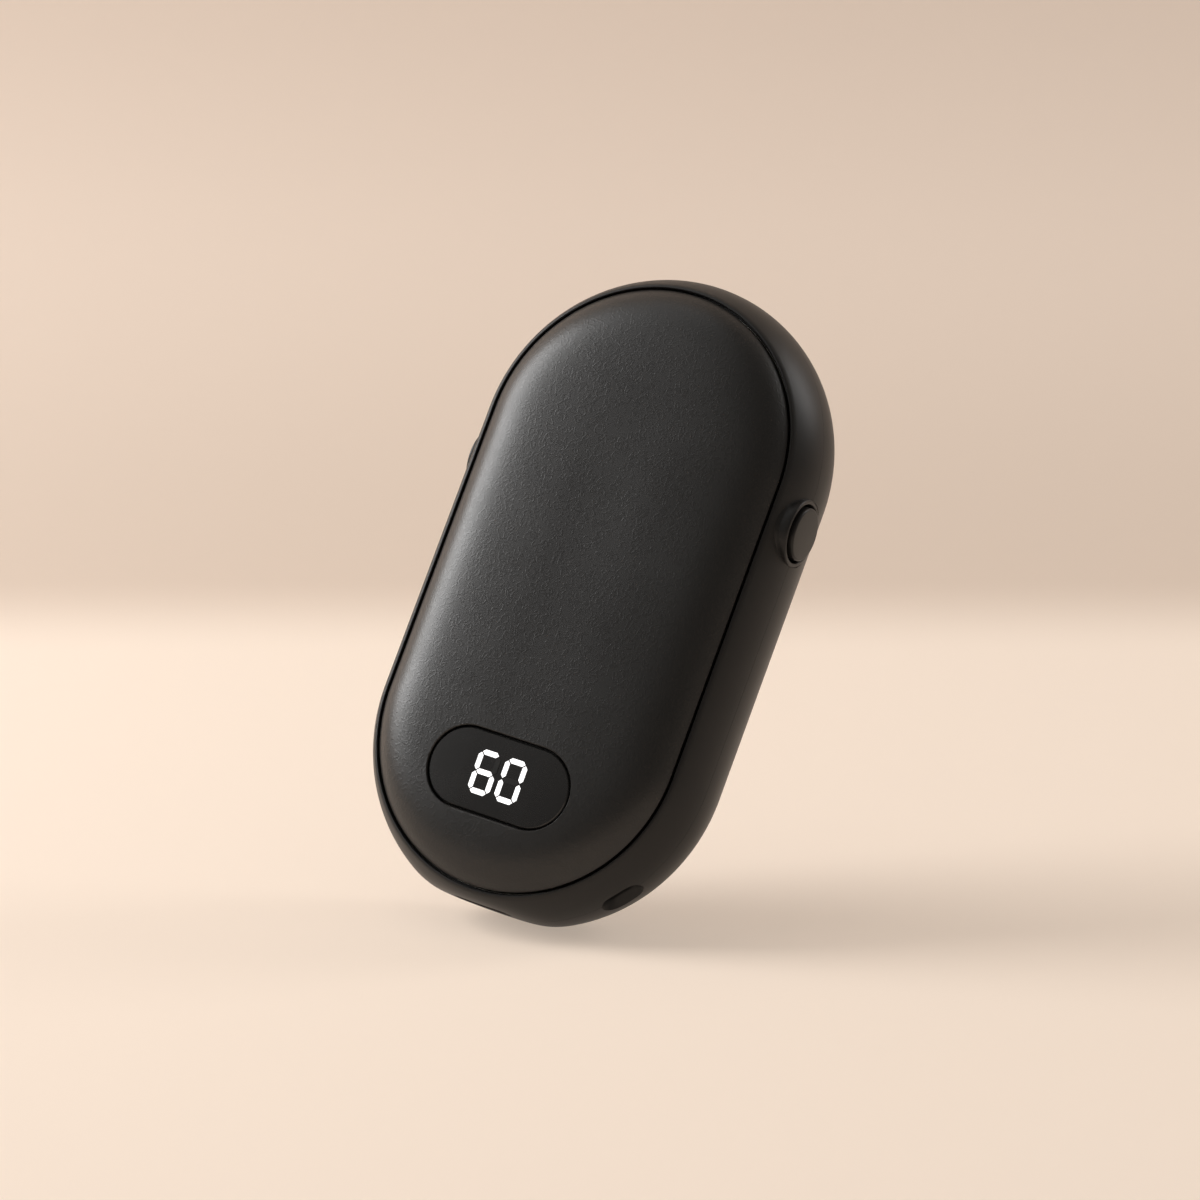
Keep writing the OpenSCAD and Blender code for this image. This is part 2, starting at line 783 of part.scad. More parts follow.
module usb_c_tongue() {
    inner_w = usb_w - 2 * usb_wall;
    inner_t = usb_h - 2 * usb_wall;
    length = usb_l - usb_wall - tongue_back;
    color(gloss_black) stood() at_socket() translate([0, 0, usb_wall - usb_recess - usb_l]) {
        linear_extrude(tongue_block) obround(inner_w, inner_t);
        linear_extrude(length) square([tongue_w, tongue_t], center = true);
    }
}

module battery_cell() {
    color(cell_blue) stood() translate([0, cell_y, cell_low]) linear_extrude(cell_t)
        rounded_square(cell_w, cell_l, cell_round);
}

module battery_foam() {
    side = cell_w - 4 * cell_round;
    color(foam_grey) stood() translate([-side / 2, cell_y - side / 2, cell_high])
        cube([side, side, pcb_low - cell_high]);
}

module battery_cradle() {
    rail_l = cell_l - 4 * cell_round;
    rail_x = cell_w / 2 + rail_gap;
    color(matte_black) stood() {
        difference() {
            intersection() {
                stadium_plate(cradle_r, -ledge_bot, cradle_t);
                translate([-body_w, cell_end - cradle_t, -body_t]) cube([2 * body_w, body_l, 2 * body_t]);
            }
            at_case_screws() translate([0, 0, -body_t]) cylinder(h = 2 * body_t, r = boss_r + rail_gap);
        }
        for (x = [rail_x, -rail_x - rail_t]) translate([x, cell_y - rail_l / 2, -ledge_bot])
            cube([rail_t, rail_l, cradle_t + rail_h]);
    }
}

// A lead swept along its route, with a ring at every point
module lead(route) {
    sides = 8;
    last = len(route) - 1;
    function unit(v) = v / norm(v);
    function along(i) = unit(route[min(last, i + 1)] - route[max(0, i - 1)]);
    function across(i) = unit(cross(along(i), abs(along(i)[0]) > 0.9 ? [0, 1, 0] : [1, 0, 0]));
    rings = [for (i = [0:last], k = [0:sides - 1])
        let (a = 360 * k / sides, u = across(i), v = cross(along(i), u))
        route[i] + lead_d / 2 * (cos(a) * u + sin(a) * v)];
    walls = [for (i = [0:last - 1], k = [0:sides - 1]) let (n = (k + 1) % sides)
        [i * sides + k, i * sides + n, (i + 1) * sides + n, (i + 1) * sides + k]];
    caps = [[for (k = [sides - 1:-1:0]) k], [for (k = [0:sides - 1]) last * sides + k]];
    polyhedron(rings, concat(walls, caps), convexity = 4);
}

// Route that rises from one height to another and moves along the body on its way
function rise(x, from_y, to_y, from_z, to_z, steps = 8) = let (
    stub = (to_z - from_z) * stub_share,
    climb = to_z - from_z - 2 * stub
) concat(
    [[x, from_y, from_z]],
    [for (i = [0:steps]) let (s = i / steps)
        [x, from_y + (to_y - from_y) * (1 - cos(180 * s)) / 2, from_z + stub + climb * s]],
    [[x, to_y, to_z]]);

// Route that leaves the cell's end level, turns up and ends at a height
function turn_up(x, from_y, from_z, to_z, steps = 6) = concat(
    [[x, from_y, from_z], [x, from_y - lead_d, from_z]],
    [for (i = [1:steps]) let (a = 90 * i / steps)
        [x, from_y - lead_d - lead_d * sin(a), from_z + lead_d * (1 - cos(a))]],
    [[x, from_y - 2 * lead_d, to_z]]);

module battery_leads() {
    color(lead_red) stood() for (side = [-1, 1])
        lead(turn_up(2 * side * lead_d, cell_end, cell_low + cell_t / 2, pcb_low));
}

module front_heater_leads() {
    color(film_amber) stood() for (side = [-1, 1])
        lead(rise(3 * side * lead_d, heat_low_y + lead_d, heat_low_y + 2 * lead_d, heat_back, pcb_high));
}

module rear_heater_leads() {
    start = cell_end - 4 * lead_d;
    color(film_amber) stood() for (side = [-1, 1])
        lead(rise(3 * side * lead_d, start, start - lead_d, -heat_back, pcb_low));
}

// Button cap with its stem and snap lip
module button_cap(side, y, h) {
    face = half_w + cap_out;
    at_button(side, y, h) rotate_extrude() polygon(concat(
        [[0, stem_end], [snap_r, stem_end], [snap_r, stem_end + snap_t], [stem_r, stem_end + snap_t],
         [stem_r, head_low], [cap_r, head_low]],
        corner(cap_r, face), [[0, face]]));
}

// Rounded corner points of a turned piece
function corner(r, h, steps = 4) = [
    for (i = [0:steps]) let (a = 90 * i / steps)
        [r - button_round * (1 - cos(a)), h - button_round * (1 - sin(a))]];

module button_collar(side, y, h) {
    face = half_w + collar_out;
    bore = cap_r + cap_gap;
    at_button(side, y, h) rotate_extrude() polygon(concat(
        [[bore, floor_x], [collar_r, floor_x]], corner(collar_r, face), [[bore, face]]));
}

// Switch that hangs from the board and reaches down past the button's axis
module switch_body(side, y, h) {
    bore_d = plunger_in + travel + cap_rest;
    x = switch_x;
    low = h - switch_h / 2;
    difference() {
        mirror([side > 0 ? 0 : 1, 0, 0]) translate([x, y - switch_w / 2, low])
            cube([switch_d, switch_w, pcb_low - low]);
        at_button(side, y, h) translate([0, 0, pcb_r - bore_d])
            cylinder(h = bore_d + over, r = plunger_r + plunger_clear);
    }
}

module switch_plunger(side, y, h) {
    at_button(side, y, h) translate([0, 0, pcb_r - plunger_in])
        cylinder(h = stem_end - pcb_r + plunger_in, r = plunger_r);
}

module power_button_cap() {
    color(matte_black) stood() button_cap(1, power_y, button_h);
}

module power_button_collar() {
    color(side_black) stood() button_collar(1, power_y, button_h);
}

module power_switch_body() {
    color(foam_grey) stood() switch_body(1, power_y, button_h);
}

module power_switch_plunger() {
    color(white_light) stood() switch_plunger(1, power_y, button_h);
}

module mode_button_cap() {
    color(matte_black) stood() button_cap(-1, mode_y, mode_h);
}

module mode_button_collar() {
    color(side_black) stood() button_collar(-1, mode_y, mode_h);
}

module mode_switch_body() {
    color(foam_grey) stood() switch_body(-1, mode_y, mode_h);
}

module mode_switch_plunger() {
    color(white_light) stood() switch_plunger(-1, mode_y, mode_h);
}

// Pan-head screw standing on its head's lower face at z = 0, with a cross slot
module screw(shank_r, shank_l, top_r, top_h) {
    slot = shank_r / 2;
    cylinder(h = shank_l, r = shank_r);
    difference() {
        translate([0, 0, -top_h]) cylinder(h = top_h, r = top_r);
        for (turn = [0, 90]) rotate([0, 0, turn]) translate([-shank_r, -slot / 2, -top_h - over])
            cube([2 * shank_r, slot, over + top_h / 2]);
    }
}

module case_screws() {
    color(bright_metal) stood() at_case_screws() translate([0, 0, head_sink - ledge_top])
        screw(screw_r, screw_l, head_r, head_h);
}

module pcb_screws() {
    color(bright_metal) stood() at_board_posts() translate([0, 0, pcb_low])
        screw(pcb_screw_r, pcb_screw_l, pcb_head_r, pcb_head_h);
}

front_panel();
front_panel_tape();
front_heat_plate();
front_heater_film();
front_insulation();
front_thermistor();
display_lens();
lens_tape();
digit_light_guide();
display_module();
front_housing();
rear_housing();
rear_panel();
rear_panel_tape();
rear_heat_plate();
rear_heater_film();
rear_insulation();
rear_thermistor();
main_pcb();
controller_chip();
charger_chip();
power_inductor();
usb_c_shell();
usb_c_tongue();
battery_cell();
battery_foam();
battery_cradle();
battery_leads();
front_heater_leads();
rear_heater_leads();
power_button_cap();
power_button_collar();
power_switch_body();
power_switch_plunger();
mode_button_cap();
mode_button_collar();
mode_switch_body();
mode_switch_plunger();
case_screws();
pcb_screws();
strap_bar();
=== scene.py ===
import json
import math
import bmesh
import bpy
from mathutils import Matrix, Vector


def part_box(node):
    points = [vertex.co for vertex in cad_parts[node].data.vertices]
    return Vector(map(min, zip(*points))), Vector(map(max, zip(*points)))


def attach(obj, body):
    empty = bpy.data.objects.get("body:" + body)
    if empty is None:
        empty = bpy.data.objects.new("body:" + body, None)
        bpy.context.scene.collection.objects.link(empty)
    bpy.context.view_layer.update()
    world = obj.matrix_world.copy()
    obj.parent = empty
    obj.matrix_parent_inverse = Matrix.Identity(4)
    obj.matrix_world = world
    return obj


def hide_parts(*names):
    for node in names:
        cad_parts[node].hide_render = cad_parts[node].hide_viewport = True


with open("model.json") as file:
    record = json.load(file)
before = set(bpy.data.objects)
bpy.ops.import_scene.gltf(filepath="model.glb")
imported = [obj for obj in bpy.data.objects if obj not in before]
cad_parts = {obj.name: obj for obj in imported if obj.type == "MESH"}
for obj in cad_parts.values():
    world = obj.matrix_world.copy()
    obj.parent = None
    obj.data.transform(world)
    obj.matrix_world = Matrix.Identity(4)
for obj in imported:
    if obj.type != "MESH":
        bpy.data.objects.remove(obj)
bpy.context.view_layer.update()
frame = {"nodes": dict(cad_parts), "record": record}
nodes = frame["nodes"]
scene = bpy.context.scene
mm = 0.001
print("frame loaded,", len(nodes), "nodes")

# Camera: the body stands up in this frame, so the camera is rolled to lean it as in the photo
cameraSet = {
    "imageSize": 1200,      # pixels on a side
    "yaw": 26.65,           # degrees towards the power button side
    "pitch": -6.42,         # degrees above the front
    "roll": 20.3,           # lean of the body to the right
    "distance": 600 * mm,
    "pixelsPerMm": 6.648,   # at the body's centre
    "shiftX": 0.4 * mm,
    "shiftY": -0.12 * mm,
    "aim": (0, 0, -0.7 * mm),
    "sensor": 36,
    "clip": (10 * mm, 20),
}


def makeCamera(values):
    yaw, pitch, roll = (math.radians(values[k]) for k in ("yaw", "pitch", "roll"))
    look = Vector((-math.sin(yaw) * math.cos(pitch), math.cos(yaw) * math.cos(pitch), -math.sin(pitch)))
    level = look.cross(Vector((0, 0, 1))).normalized()
    rise = level.cross(look)
    right = math.cos(roll) * level + math.sin(roll) * rise
    up = math.cos(roll) * rise - math.sin(roll) * level
    place = Vector(values["aim"]) - look * values["distance"]
    place -= right * values["shiftX"] + up * values["shiftY"]
    data = bpy.data.cameras.new("camera")
    data.sensor_width = values["sensor"]
    focal = values["pixelsPerMm"] * values["distance"] / mm
    data.lens = focal * values["sensor"] / values["imageSize"]
    data.clip_start, data.clip_end = values["clip"]
    camera = bpy.data.objects.new("camera", data)
    turn = Matrix((right, up, -look)).transposed()
    camera.matrix_world = Matrix.Translation(place) @ turn.to_4x4()
    scene.collection.objects.link(camera)
    scene.camera = camera
    return right, up, look


viewRight, viewUp, viewLook = makeCamera(cameraSet)
print("camera made")


# Helpers for node trees, of geometry and of materials alike
def feed(tree, slot, value):
    if isinstance(value, bpy.types.NodeSocket):
        tree.links.new(value, slot)
    else:
        slot.default_value = value


# One Math node
def calc(tree, operation, *values):
    node = tree.nodes.new("ShaderNodeMath")
    node.operation = operation
    for slot, value in zip(node.inputs, values):
        feed(tree, slot, value)
    return node.outputs[0]


def smoothStep(tree, value, low, high):
    node = tree.nodes.new("ShaderNodeMapRange")
    node.interpolation_type = "SMOOTHSTEP"
    for slot, amount in zip(node.inputs, (value, low, high, 0, 1)):
        feed(tree, slot, amount)
    return node.outputs[0]


# A vector node for one operation; a vector is scaled where the second value is a number
def calcVector(tree, operation, first, second):
    node = tree.nodes.new("ShaderNodeVectorMath")
    node.operation = operation
    feed(tree, node.inputs[0], first)
    feed(tree, node.inputs["Scale" if operation == "SCALE" else 1], second)
    return node.outputs["Value" if operation == "DOT_PRODUCT" else "Vector"]


def noiseAt(tree, place, size, detail=0.0, distortion=0.0, output=0):
    node = tree.nodes.new("ShaderNodeTexNoise")
    feed(tree, node.inputs["Vector"], place)
    feed(tree, node.inputs["Scale"], size)
    node.inputs["Detail"].default_value = detail
    node.inputs["Distortion"].default_value = distortion
    return node.outputs[output]


curlShape = {
    "twistScale": 1.2,      # twists for each cell
    "twist": 1.2,           # how far the pattern is twisted, in cells
    "lineEdge": 0.35,       # share of a line's half width that is flat
    "breakScale": 1.8,      # breaks for each cell
    "breakEdge": 0.08,      # softness of a break
}


# Short curls and rings: a twisted ring in each cell, broken open by a noise
def curlField(tree, place, perMetre, ring, line, gaps):
    twists = noiseAt(tree, place, calc(tree, "MULTIPLY", perMetre, curlShape["twistScale"]), output="Color")
    shift = calcVector(tree, "SCALE", twists, calc(tree, "DIVIDE", curlShape["twist"], perMetre))
    cells = tree.nodes.new("ShaderNodeTexVoronoi")
    feed(tree, cells.inputs["Vector"], calcVector(tree, "ADD", place, shift))
    feed(tree, cells.inputs["Scale"], perMetre)
    apart = calc(tree, "ABSOLUTE", calc(tree, "SUBTRACT", cells.outputs["Distance"], ring))
    flat = calc(tree, "MULTIPLY", line, curlShape["lineEdge"])
    lines = calc(tree, "SUBTRACT", 1, smoothStep(tree, apart, flat, line))
    breaks = noiseAt(tree, place, calc(tree, "MULTIPLY", perMetre, curlShape["breakScale"]))
    kept = smoothStep(tree, breaks, gaps, calc(tree, "ADD", gaps, curlShape["breakEdge"]))
    return calc(tree, "MULTIPLY", lines, kept)


def newGroup(name, kind, inputs, outputs):
    tree = bpy.data.node_groups.new(name, kind)
    for label, form, value in inputs:
        made = tree.interface.new_socket(label, in_out="INPUT", socket_type=form)
        if value is not None:
            made.default_value = value
    for label, form in outputs:
        tree.interface.new_socket(label, in_out="OUTPUT", socket_type=form)
    return tree, tree.nodes.new("NodeGroupInput"), tree.nodes.new("NodeGroupOutput")


# Geometry Nodes: a half section (X = radius, Y = height, Z = floor along the body) swept round the body
def bodySweepTree():
    tree, given, result = newGroup("bodySweep", "GeometryNodeTree", [
        ("Geometry", "NodeSocketGeometry", None), ("Stations", "NodeSocketInt", 360),
        ("Path Radius", "NodeSocketFloat", 0.02), ("Spine", "NodeSocketFloat", 0.0227),
        ("Shift", "NodeSocketFloat", -0.0007), ("Rounding", "NodeSocketFloat", 0.0005),
        ("Merge", "NodeSocketFloat", 5e-7),
        ("Material", "NodeSocketMaterial", None)], [("Geometry", "NodeSocketGeometry")])
    section = given.outputs["Geometry"]
    radius, spine = given.outputs["Path Radius"], given.outputs["Spine"]
    size = tree.nodes.new("GeometryNodeAttributeDomainSize")
    tree.links.new(section, size.inputs["Geometry"])
    grid = tree.nodes.new("GeometryNodeMeshGrid")
    tree.links.new(given.outputs["Stations"], grid.inputs["Vertices X"])
    tree.links.new(size.outputs["Point Count"], grid.inputs["Vertices Y"])
    index = tree.nodes.new("GeometryNodeInputIndex").outputs[0]
    rows = size.outputs["Point Count"]
    station = calc(tree, "FLOOR", calc(tree, "DIVIDE", calc(tree, "ADD", index, 0.5), rows))
    row = calc(tree, "SUBTRACT", index, calc(tree, "MULTIPLY", station, rows))
    sample = tree.nodes.new("GeometryNodeSampleIndex")
    sample.data_type = "FLOAT_VECTOR"
    tree.links.new(section, sample.inputs["Geometry"])
    tree.links.new(tree.nodes.new("GeometryNodeInputPosition").outputs[0], sample.inputs["Value"])
    tree.links.new(row, sample.inputs["Index"])
    parts = tree.nodes.new("ShaderNodeSeparateXYZ")
    tree.links.new(sample.outputs[0], parts.inputs[0])
    half = calc(tree, "MULTIPLY", radius, math.pi)
    whole = calc(tree, "ADD", calc(tree, "MULTIPLY", half, 2), calc(tree, "MULTIPLY", spine, 4))
    share = calc(tree, "DIVIDE", station, calc(tree, "SUBTRACT", given.outputs["Stations"], 1))
    along = calc(tree, "MULTIPLY", share, whole)

    def stretch(start, length):  # how much of a stretch of the path lies behind this station
        return calc(tree, "MINIMUM", calc(tree, "MAXIMUM", calc(tree, "SUBTRACT", along, start), 0), length)

    upArc = stretch(spine, half)
    down = stretch(calc(tree, "ADD", spine, half), calc(tree, "MULTIPLY", spine, 2))
    threeSides = calc(tree, "ADD", calc(tree, "MULTIPLY", spine, 3), half)
    lowArc = stretch(threeSides, half)
    last = stretch(calc(tree, "ADD", threeSides, half), spine)
    angle = calc(tree, "DIVIDE", calc(tree, "ADD", upArc, lowArc), radius)
    centre = calc(tree, "ADD", calc(tree, "SUBTRACT", stretch(0, spine), down), last)
    centre = calc(tree, "ADD", centre, given.outputs["Shift"])
    out = parts.outputs["X"]
    place = tree.nodes.new("ShaderNodeCombineXYZ")
    tree.links.new(calc(tree, "MULTIPLY", out, calc(tree, "COSINE", angle)), place.inputs["X"])
    tree.links.new(calc(tree, "MULTIPLY", parts.outputs["Y"], -1), place.inputs["Y"])
    high = calc(tree, "ADD", centre, calc(tree, "MULTIPLY", out, calc(tree, "SINE", angle)))
    high = calc(tree, "SMOOTH_MAX", high, parts.outputs["Z"], given.outputs["Rounding"])
    tree.links.new(high, place.inputs["Z"])
    move = tree.nodes.new("GeometryNodeSetPosition")
    tree.links.new(grid.outputs["Mesh"], move.inputs["Geometry"])
    tree.links.new(place.outputs[0], move.inputs["Position"])
    merge = tree.nodes.new("GeometryNodeMergeByDistance")
    tree.links.new(given.outputs["Merge"], merge.inputs["Distance"])
    tree.links.new(move.outputs[0], merge.inputs["Geometry"])
    finishTree(tree, merge.outputs[0], given, result)
    return tree


# The end of each geometry tree
def finishTree(tree, made, given, result):
    solid = tree.nodes.new("GeometryNodeRealizeInstances")
    paint = tree.nodes.new("GeometryNodeSetMaterial")
    tree.links.new(made, solid.inputs[0])
    tree.links.new(solid.outputs[0], paint.inputs["Geometry"])
    tree.links.new(given.outputs["Material"], paint.inputs["Material"])
    tree.links.new(paint.outputs[0], result.inputs[0])


# Geometry Nodes: the mould grain as shallow relief, which fades out at the seam
def grainReliefTree():
    tree, given, result = newGroup("grainRelief", "GeometryNodeTree", [
        ("Geometry", "NodeSocketGeometry", None), ("Depth", "NodeSocketFloat", 0.00003),
        ("Curls per Metre", "NodeSocketFloat", 600), ("Ring", "NodeSocketFloat", 0.4),
        ("Line", "NodeSocketFloat", 0.2), ("Gaps", "NodeSocketFloat", 0.45),
        ("Seam Height", "NodeSocketFloat", 0.0083), ("Fade", "NodeSocketFloat", 0.0004),
        ("Material", "NodeSocketMaterial", None)], [("Geometry", "NodeSocketGeometry")])
    place = tree.nodes.new("GeometryNodeInputPosition").outputs[0]
    curls = curlField(tree, place, *(given.outputs[k] for k in ("Curls per Metre", "Ring", "Line", "Gaps")))
    parts = tree.nodes.new("ShaderNodeSeparateXYZ")
    tree.links.new(place, parts.inputs[0])
    clear = calc(tree, "SUBTRACT", calc(tree, "ABSOLUTE", parts.outputs["Y"]), given.outputs["Seam Height"])
    amount = calc(tree, "MULTIPLY", curls, smoothStep(tree, clear, 0, given.outputs["Fade"]))
    amount = calc(tree, "MULTIPLY", amount, calc(tree, "MULTIPLY", given.outputs["Depth"], -1))
    outward = tree.nodes.new("GeometryNodeInputNormal").outputs[0]
    move = tree.nodes.new("GeometryNodeSetPosition")
    tree.links.new(given.outputs["Geometry"], move.inputs["Geometry"])
    tree.links.new(calcVector(tree, "SCALE", outward, amount), move.inputs["Offset"])
    finishTree(tree, move.outputs[0], given, result)
    return tree


# Geometry Nodes: copies of the given mesh in a row along X
def rowTree():
    tree, given, result = newGroup("contactRow", "GeometryNodeTree", [
        ("Geometry", "NodeSocketGeometry", None), ("Count", "NodeSocketInt", 12),
        ("Pitch", "NodeSocketFloat", 0.0005), ("Material", "NodeSocketMaterial", None)],
        [("Geometry", "NodeSocketGeometry")])
    line = tree.nodes.new("GeometryNodeMeshLine")
    tree.links.new(given.outputs["Count"], line.inputs["Count"])
    step = tree.nodes.new("ShaderNodeCombineXYZ")
    tree.links.new(given.outputs["Pitch"], step.inputs["X"])
    start = tree.nodes.new("ShaderNodeCombineXYZ")
    span = calc(tree, "MULTIPLY", given.outputs["Pitch"], calc(tree, "SUBTRACT", given.outputs["Count"], 1))
    tree.links.new(calc(tree, "MULTIPLY", span, -0.5), start.inputs["X"])
    tree.links.new(start.outputs[0], line.inputs["Start Location"])
    tree.links.new(step.outputs[0], line.inputs["Offset"])
    copies = tree.nodes.new("GeometryNodeInstanceOnPoints")
    tree.links.new(line.outputs[0], copies.inputs["Points"])
    tree.links.new(given.outputs["Geometry"], copies.inputs["Instance"])
    finishTree(tree, copies.outputs[0], given, result)
    return tree


# Puts the modifiers' result into a plain mesh
def settle(piece):
    scene.view_layers[0].update()
    solved = piece.evaluated_get(bpy.context.evaluated_depsgraph_get())
    mesh = bpy.data.meshes.new_from_object(solved)
    piece.modifiers.clear()
    old = piece.data
    piece.data = mesh
    bpy.data.meshes.remove(old)
    return piece


def runTree(piece, tree, values):
    modifier = piece.modifiers.new(tree.name, "NODES")
    modifier.node_group = tree
    for item in tree.interface.items_tree:
        if item.item_type == "SOCKET" and item.in_out == "INPUT" and item.name in values:
            modifier[item.identifier] = values[item.name]
    return settle(piece)


def newPiece(name, points, faces=(), edges=()):
    mesh = bpy.data.meshes.new(name)
    mesh.from_pydata([Vector(p) * mm for p in points], edges, faces)
    mesh.update()
    piece = bpy.data.objects.new(name, mesh)
    scene.collection.objects.link(piece)
    return piece


# Cleans a mesh, turns its faces outward and counts its open edges
def mend(piece, merge=0, thin=0):
    shape = bmesh.new()
    shape.from_mesh(piece.data)
    if merge:
        bmesh.ops.remove_doubles(shape, verts=shape.verts, dist=merge)
    if thin:
        bmesh.ops.dissolve_degenerate(shape, edges=shape.edges, dist=thin)
    bmesh.ops.recalc_face_normals(shape, faces=shape.faces)
    openEdges = sum(1 for e in shape.edges if len(e.link_faces) != 2)
    shape.to_mesh(piece.data)
    shape.free()
    return openEdges


# Faces between each ring of points and the next
def ringFaces(rows, count, closed=False):
    faces = []
    for i in range(rows if closed else rows - 1):
        n = (i + 1) % rows
        for j in range(count):
            k = (j + 1) % count
            faces.append((i * count + j, i * count + k, n * count + k, n * count + j))
    return faces


# Skin through rings of points, closed at both ends
def loftPiece(name, rings, place=Matrix()):
    count = len(rings[0])
    points = [place @ Vector(p) for ring in rings for p in ring]
    faces = ringFaces(len(rings), count)
    faces.append(tuple(reversed(range(count))))
    faces.append(tuple(range((len(rings) - 1) * count, len(rings) * count)))
    piece = newPiece(name, points, faces)
    mend(piece, merge=1e-6, thin=1e-7)
    return piece


# Boolean with a tool that is used up
def combine(piece, tool, operation):
    modifier = piece.modifiers.new("cut", "BOOLEAN")
    modifier.operation = operation
    modifier.solver = "MANIFOLD"
    modifier.object = tool
    settle(piece)
    spare = tool.data
    bpy.data.objects.remove(tool)
    bpy.data.meshes.remove(spare)


def shade(piece, degrees):
    mesh = piece.data
    mesh.shade_smooth()
    mesh.set_sharp_from_angle(angle=math.radians(degrees))


# Puts a finished piece in the place of its CAD node
def seat(piece, nodeName, body, material):
    piece.data.materials.clear()
    piece.data.materials.append(material)
    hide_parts(nodeName)
    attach(piece, body)


# Outline of a long slot, w along X and h along Y, grown by grow
def obround(w, h, high, grow=0.0, steps=20):
    r = min(w, h) / 2
    out = []
    for side in (1, -1):
        for i in range(steps + 1):
            turn = math.pi * (i / steps - 0.5) + (0 if side > 0 else math.pi)
            spot = ((w / 2 - r) * side + (r + grow) * math.cos(turn), (r + grow) * math.sin(turn))
            out.append((*spot, high))
    return out


def circleRing(r, high, steps=64):
    return [(r * math.cos(2 * math.pi * i / steps), r * math.sin(2 * math.pi * i / steps), high)
            for i in range(steps)]


# Places a piece's own X, Y and Z along the given directions
def placeFrom(x, y, z, origin):
    turn = Matrix((x, y, z)).transposed().to_4x4()
    return Matrix.Translation(origin) @ turn


# The grain's curls as a shader group
def curlGroup():
    tree, given, result = newGroup("curlGrain", "ShaderNodeTree", [
        ("Vector", "NodeSocketVector", None), ("Curls per Metre", "NodeSocketFloat", 600),
        ("Ring", "NodeSocketFloat", 0.4), ("Line", "NodeSocketFloat", 0.2),
        ("Gaps", "NodeSocketFloat", 0.45)], [("Mask", "NodeSocketFloat")])
    names = ("Vector", "Curls per Metre", "Ring", "Line", "Gaps")
    tree.links.new(curlField(tree, *(given.outputs[k] for k in names)), result.inputs["Mask"])
    return tree


# Fine unevenness of a moulded, painted or rolled surface
def finishGroup():
    tree, given, result = newGroup("fineFinish", "ShaderNodeTree", [
        ("Vector", "NodeSocketVector", None), ("Grains per Metre", "NodeSocketFloat", 9000),
        ("Clouds per Metre", "NodeSocketFloat", 90), ("Colour", "NodeSocketColor", (0.04, 0.04, 0.04, 1)),
        ("Tone", "NodeSocketFloat", 0.1), ("Roughness", "NodeSocketFloat", 0.5),
        ("Unevenness", "NodeSocketFloat", 0.05)],
        [("Colour", "NodeSocketColor"), ("Roughness", "NodeSocketFloat"), ("Height", "NodeSocketFloat")])
    grains = noiseAt(tree, given.outputs["Vector"], given.outputs["Grains per Metre"], detail=2)
    clouds = noiseAt(tree, given.outputs["Vector"], given.outputs["Clouds per Metre"], detail=3,
                     distortion=0.4)
    cloudShare = 1.6
    both = calc(tree, "ADD", grains, calc(tree, "MULTIPLY", clouds, cloudShare))
    both = calc(tree, "SUBTRACT", both, (1 + cloudShare) / 2)
    level = calc(tree, "ADD", calc(tree, "MULTIPLY", both, given.outputs["Tone"]), 1)
    tree.links.new(calcVector(tree, "SCALE", given.outputs["Colour"], level), result.inputs["Colour"])
    uneven = calc(tree, "MULTIPLY", both, given.outputs["Unevenness"])
    tree.links.new(calc(tree, "ADD", given.outputs["Roughness"], uneven), result.inputs["Roughness"])
    tree.links.new(grains, result.inputs["Height"])
    return tree


groups = {"curl": curlGroup(), "finish": finishGroup()}


def placeGroup(tree, group, place, **values):
    node = tree.nodes.new("ShaderNodeGroup")
    node.node_tree = group
    tree.links.new(place, node.inputs["Vector"])
    for key, value in values.items():
        node.inputs[key.replace("_", " ")].default_value = value
    return node


# A Principled material whose colour, roughness and bump come from the groups
def newMaterial(name, colour, roughness, tone=0.12, unevenness=0.06, grains=9000, clouds=90, bump=0.004,
                curls=None, **extra):
    material = bpy.data.materials.new(name)
    material.use_nodes = True
    tree = material.node_tree
    shader = tree.nodes["Principled BSDF"]
    place = tree.nodes.new("ShaderNodeTexCoord").outputs["Object"]
    finish = placeGroup(tree, groups["finish"], place, Colour=(*colour, 1), Roughness=roughness, Tone=tone,
                        Unevenness=unevenness, Grains_per_Metre=grains, Clouds_per_Metre=clouds)
    colourOut, roughOut, height = (finish.outputs[k] for k in ("Colour", "Roughness", "Height"))
    height = calc(tree, "MULTIPLY", height, bump * mm)
    if curls:
        mask = placeGroup(tree, groups["curl"], place, Curls_per_Metre=curls["perMetre"],
                          Ring=curls["ring"], Line=curls["line"], Gaps=curls["gaps"]).outputs["Mask"]
        height = calc(tree, "SUBTRACT", height, calc(tree, "MULTIPLY", mask, curls["bump"] * mm))
        roughOut = calc(tree, "ADD", roughOut, calc(tree, "MULTIPLY", mask, curls["dulling"]))
        # Curl lines scale the colour by one less the mask times shade: below zero, this is a painted
        # highlight on the curls
        crestHighlightScale = calc(tree, "SUBTRACT", 1, calc(tree, "MULTIPLY", mask, curls["shade"]))
        colourOut = calcVector(tree, "SCALE", colourOut, crestHighlightScale)
    tree.links.new(colourOut, shader.inputs["Base Color"])
    tree.links.new(roughOut, shader.inputs["Roughness"])
    relief = tree.nodes.new("ShaderNodeBump")
    relief.inputs["Distance"].default_value = 1
    tree.links.new(height, relief.inputs["Height"])
    tree.links.new(relief.outputs["Normal"], shader.inputs["Normal"])
    for key, value in extra.items():
        shader.inputs[key.replace("_", " ")].default_value = value
    return material


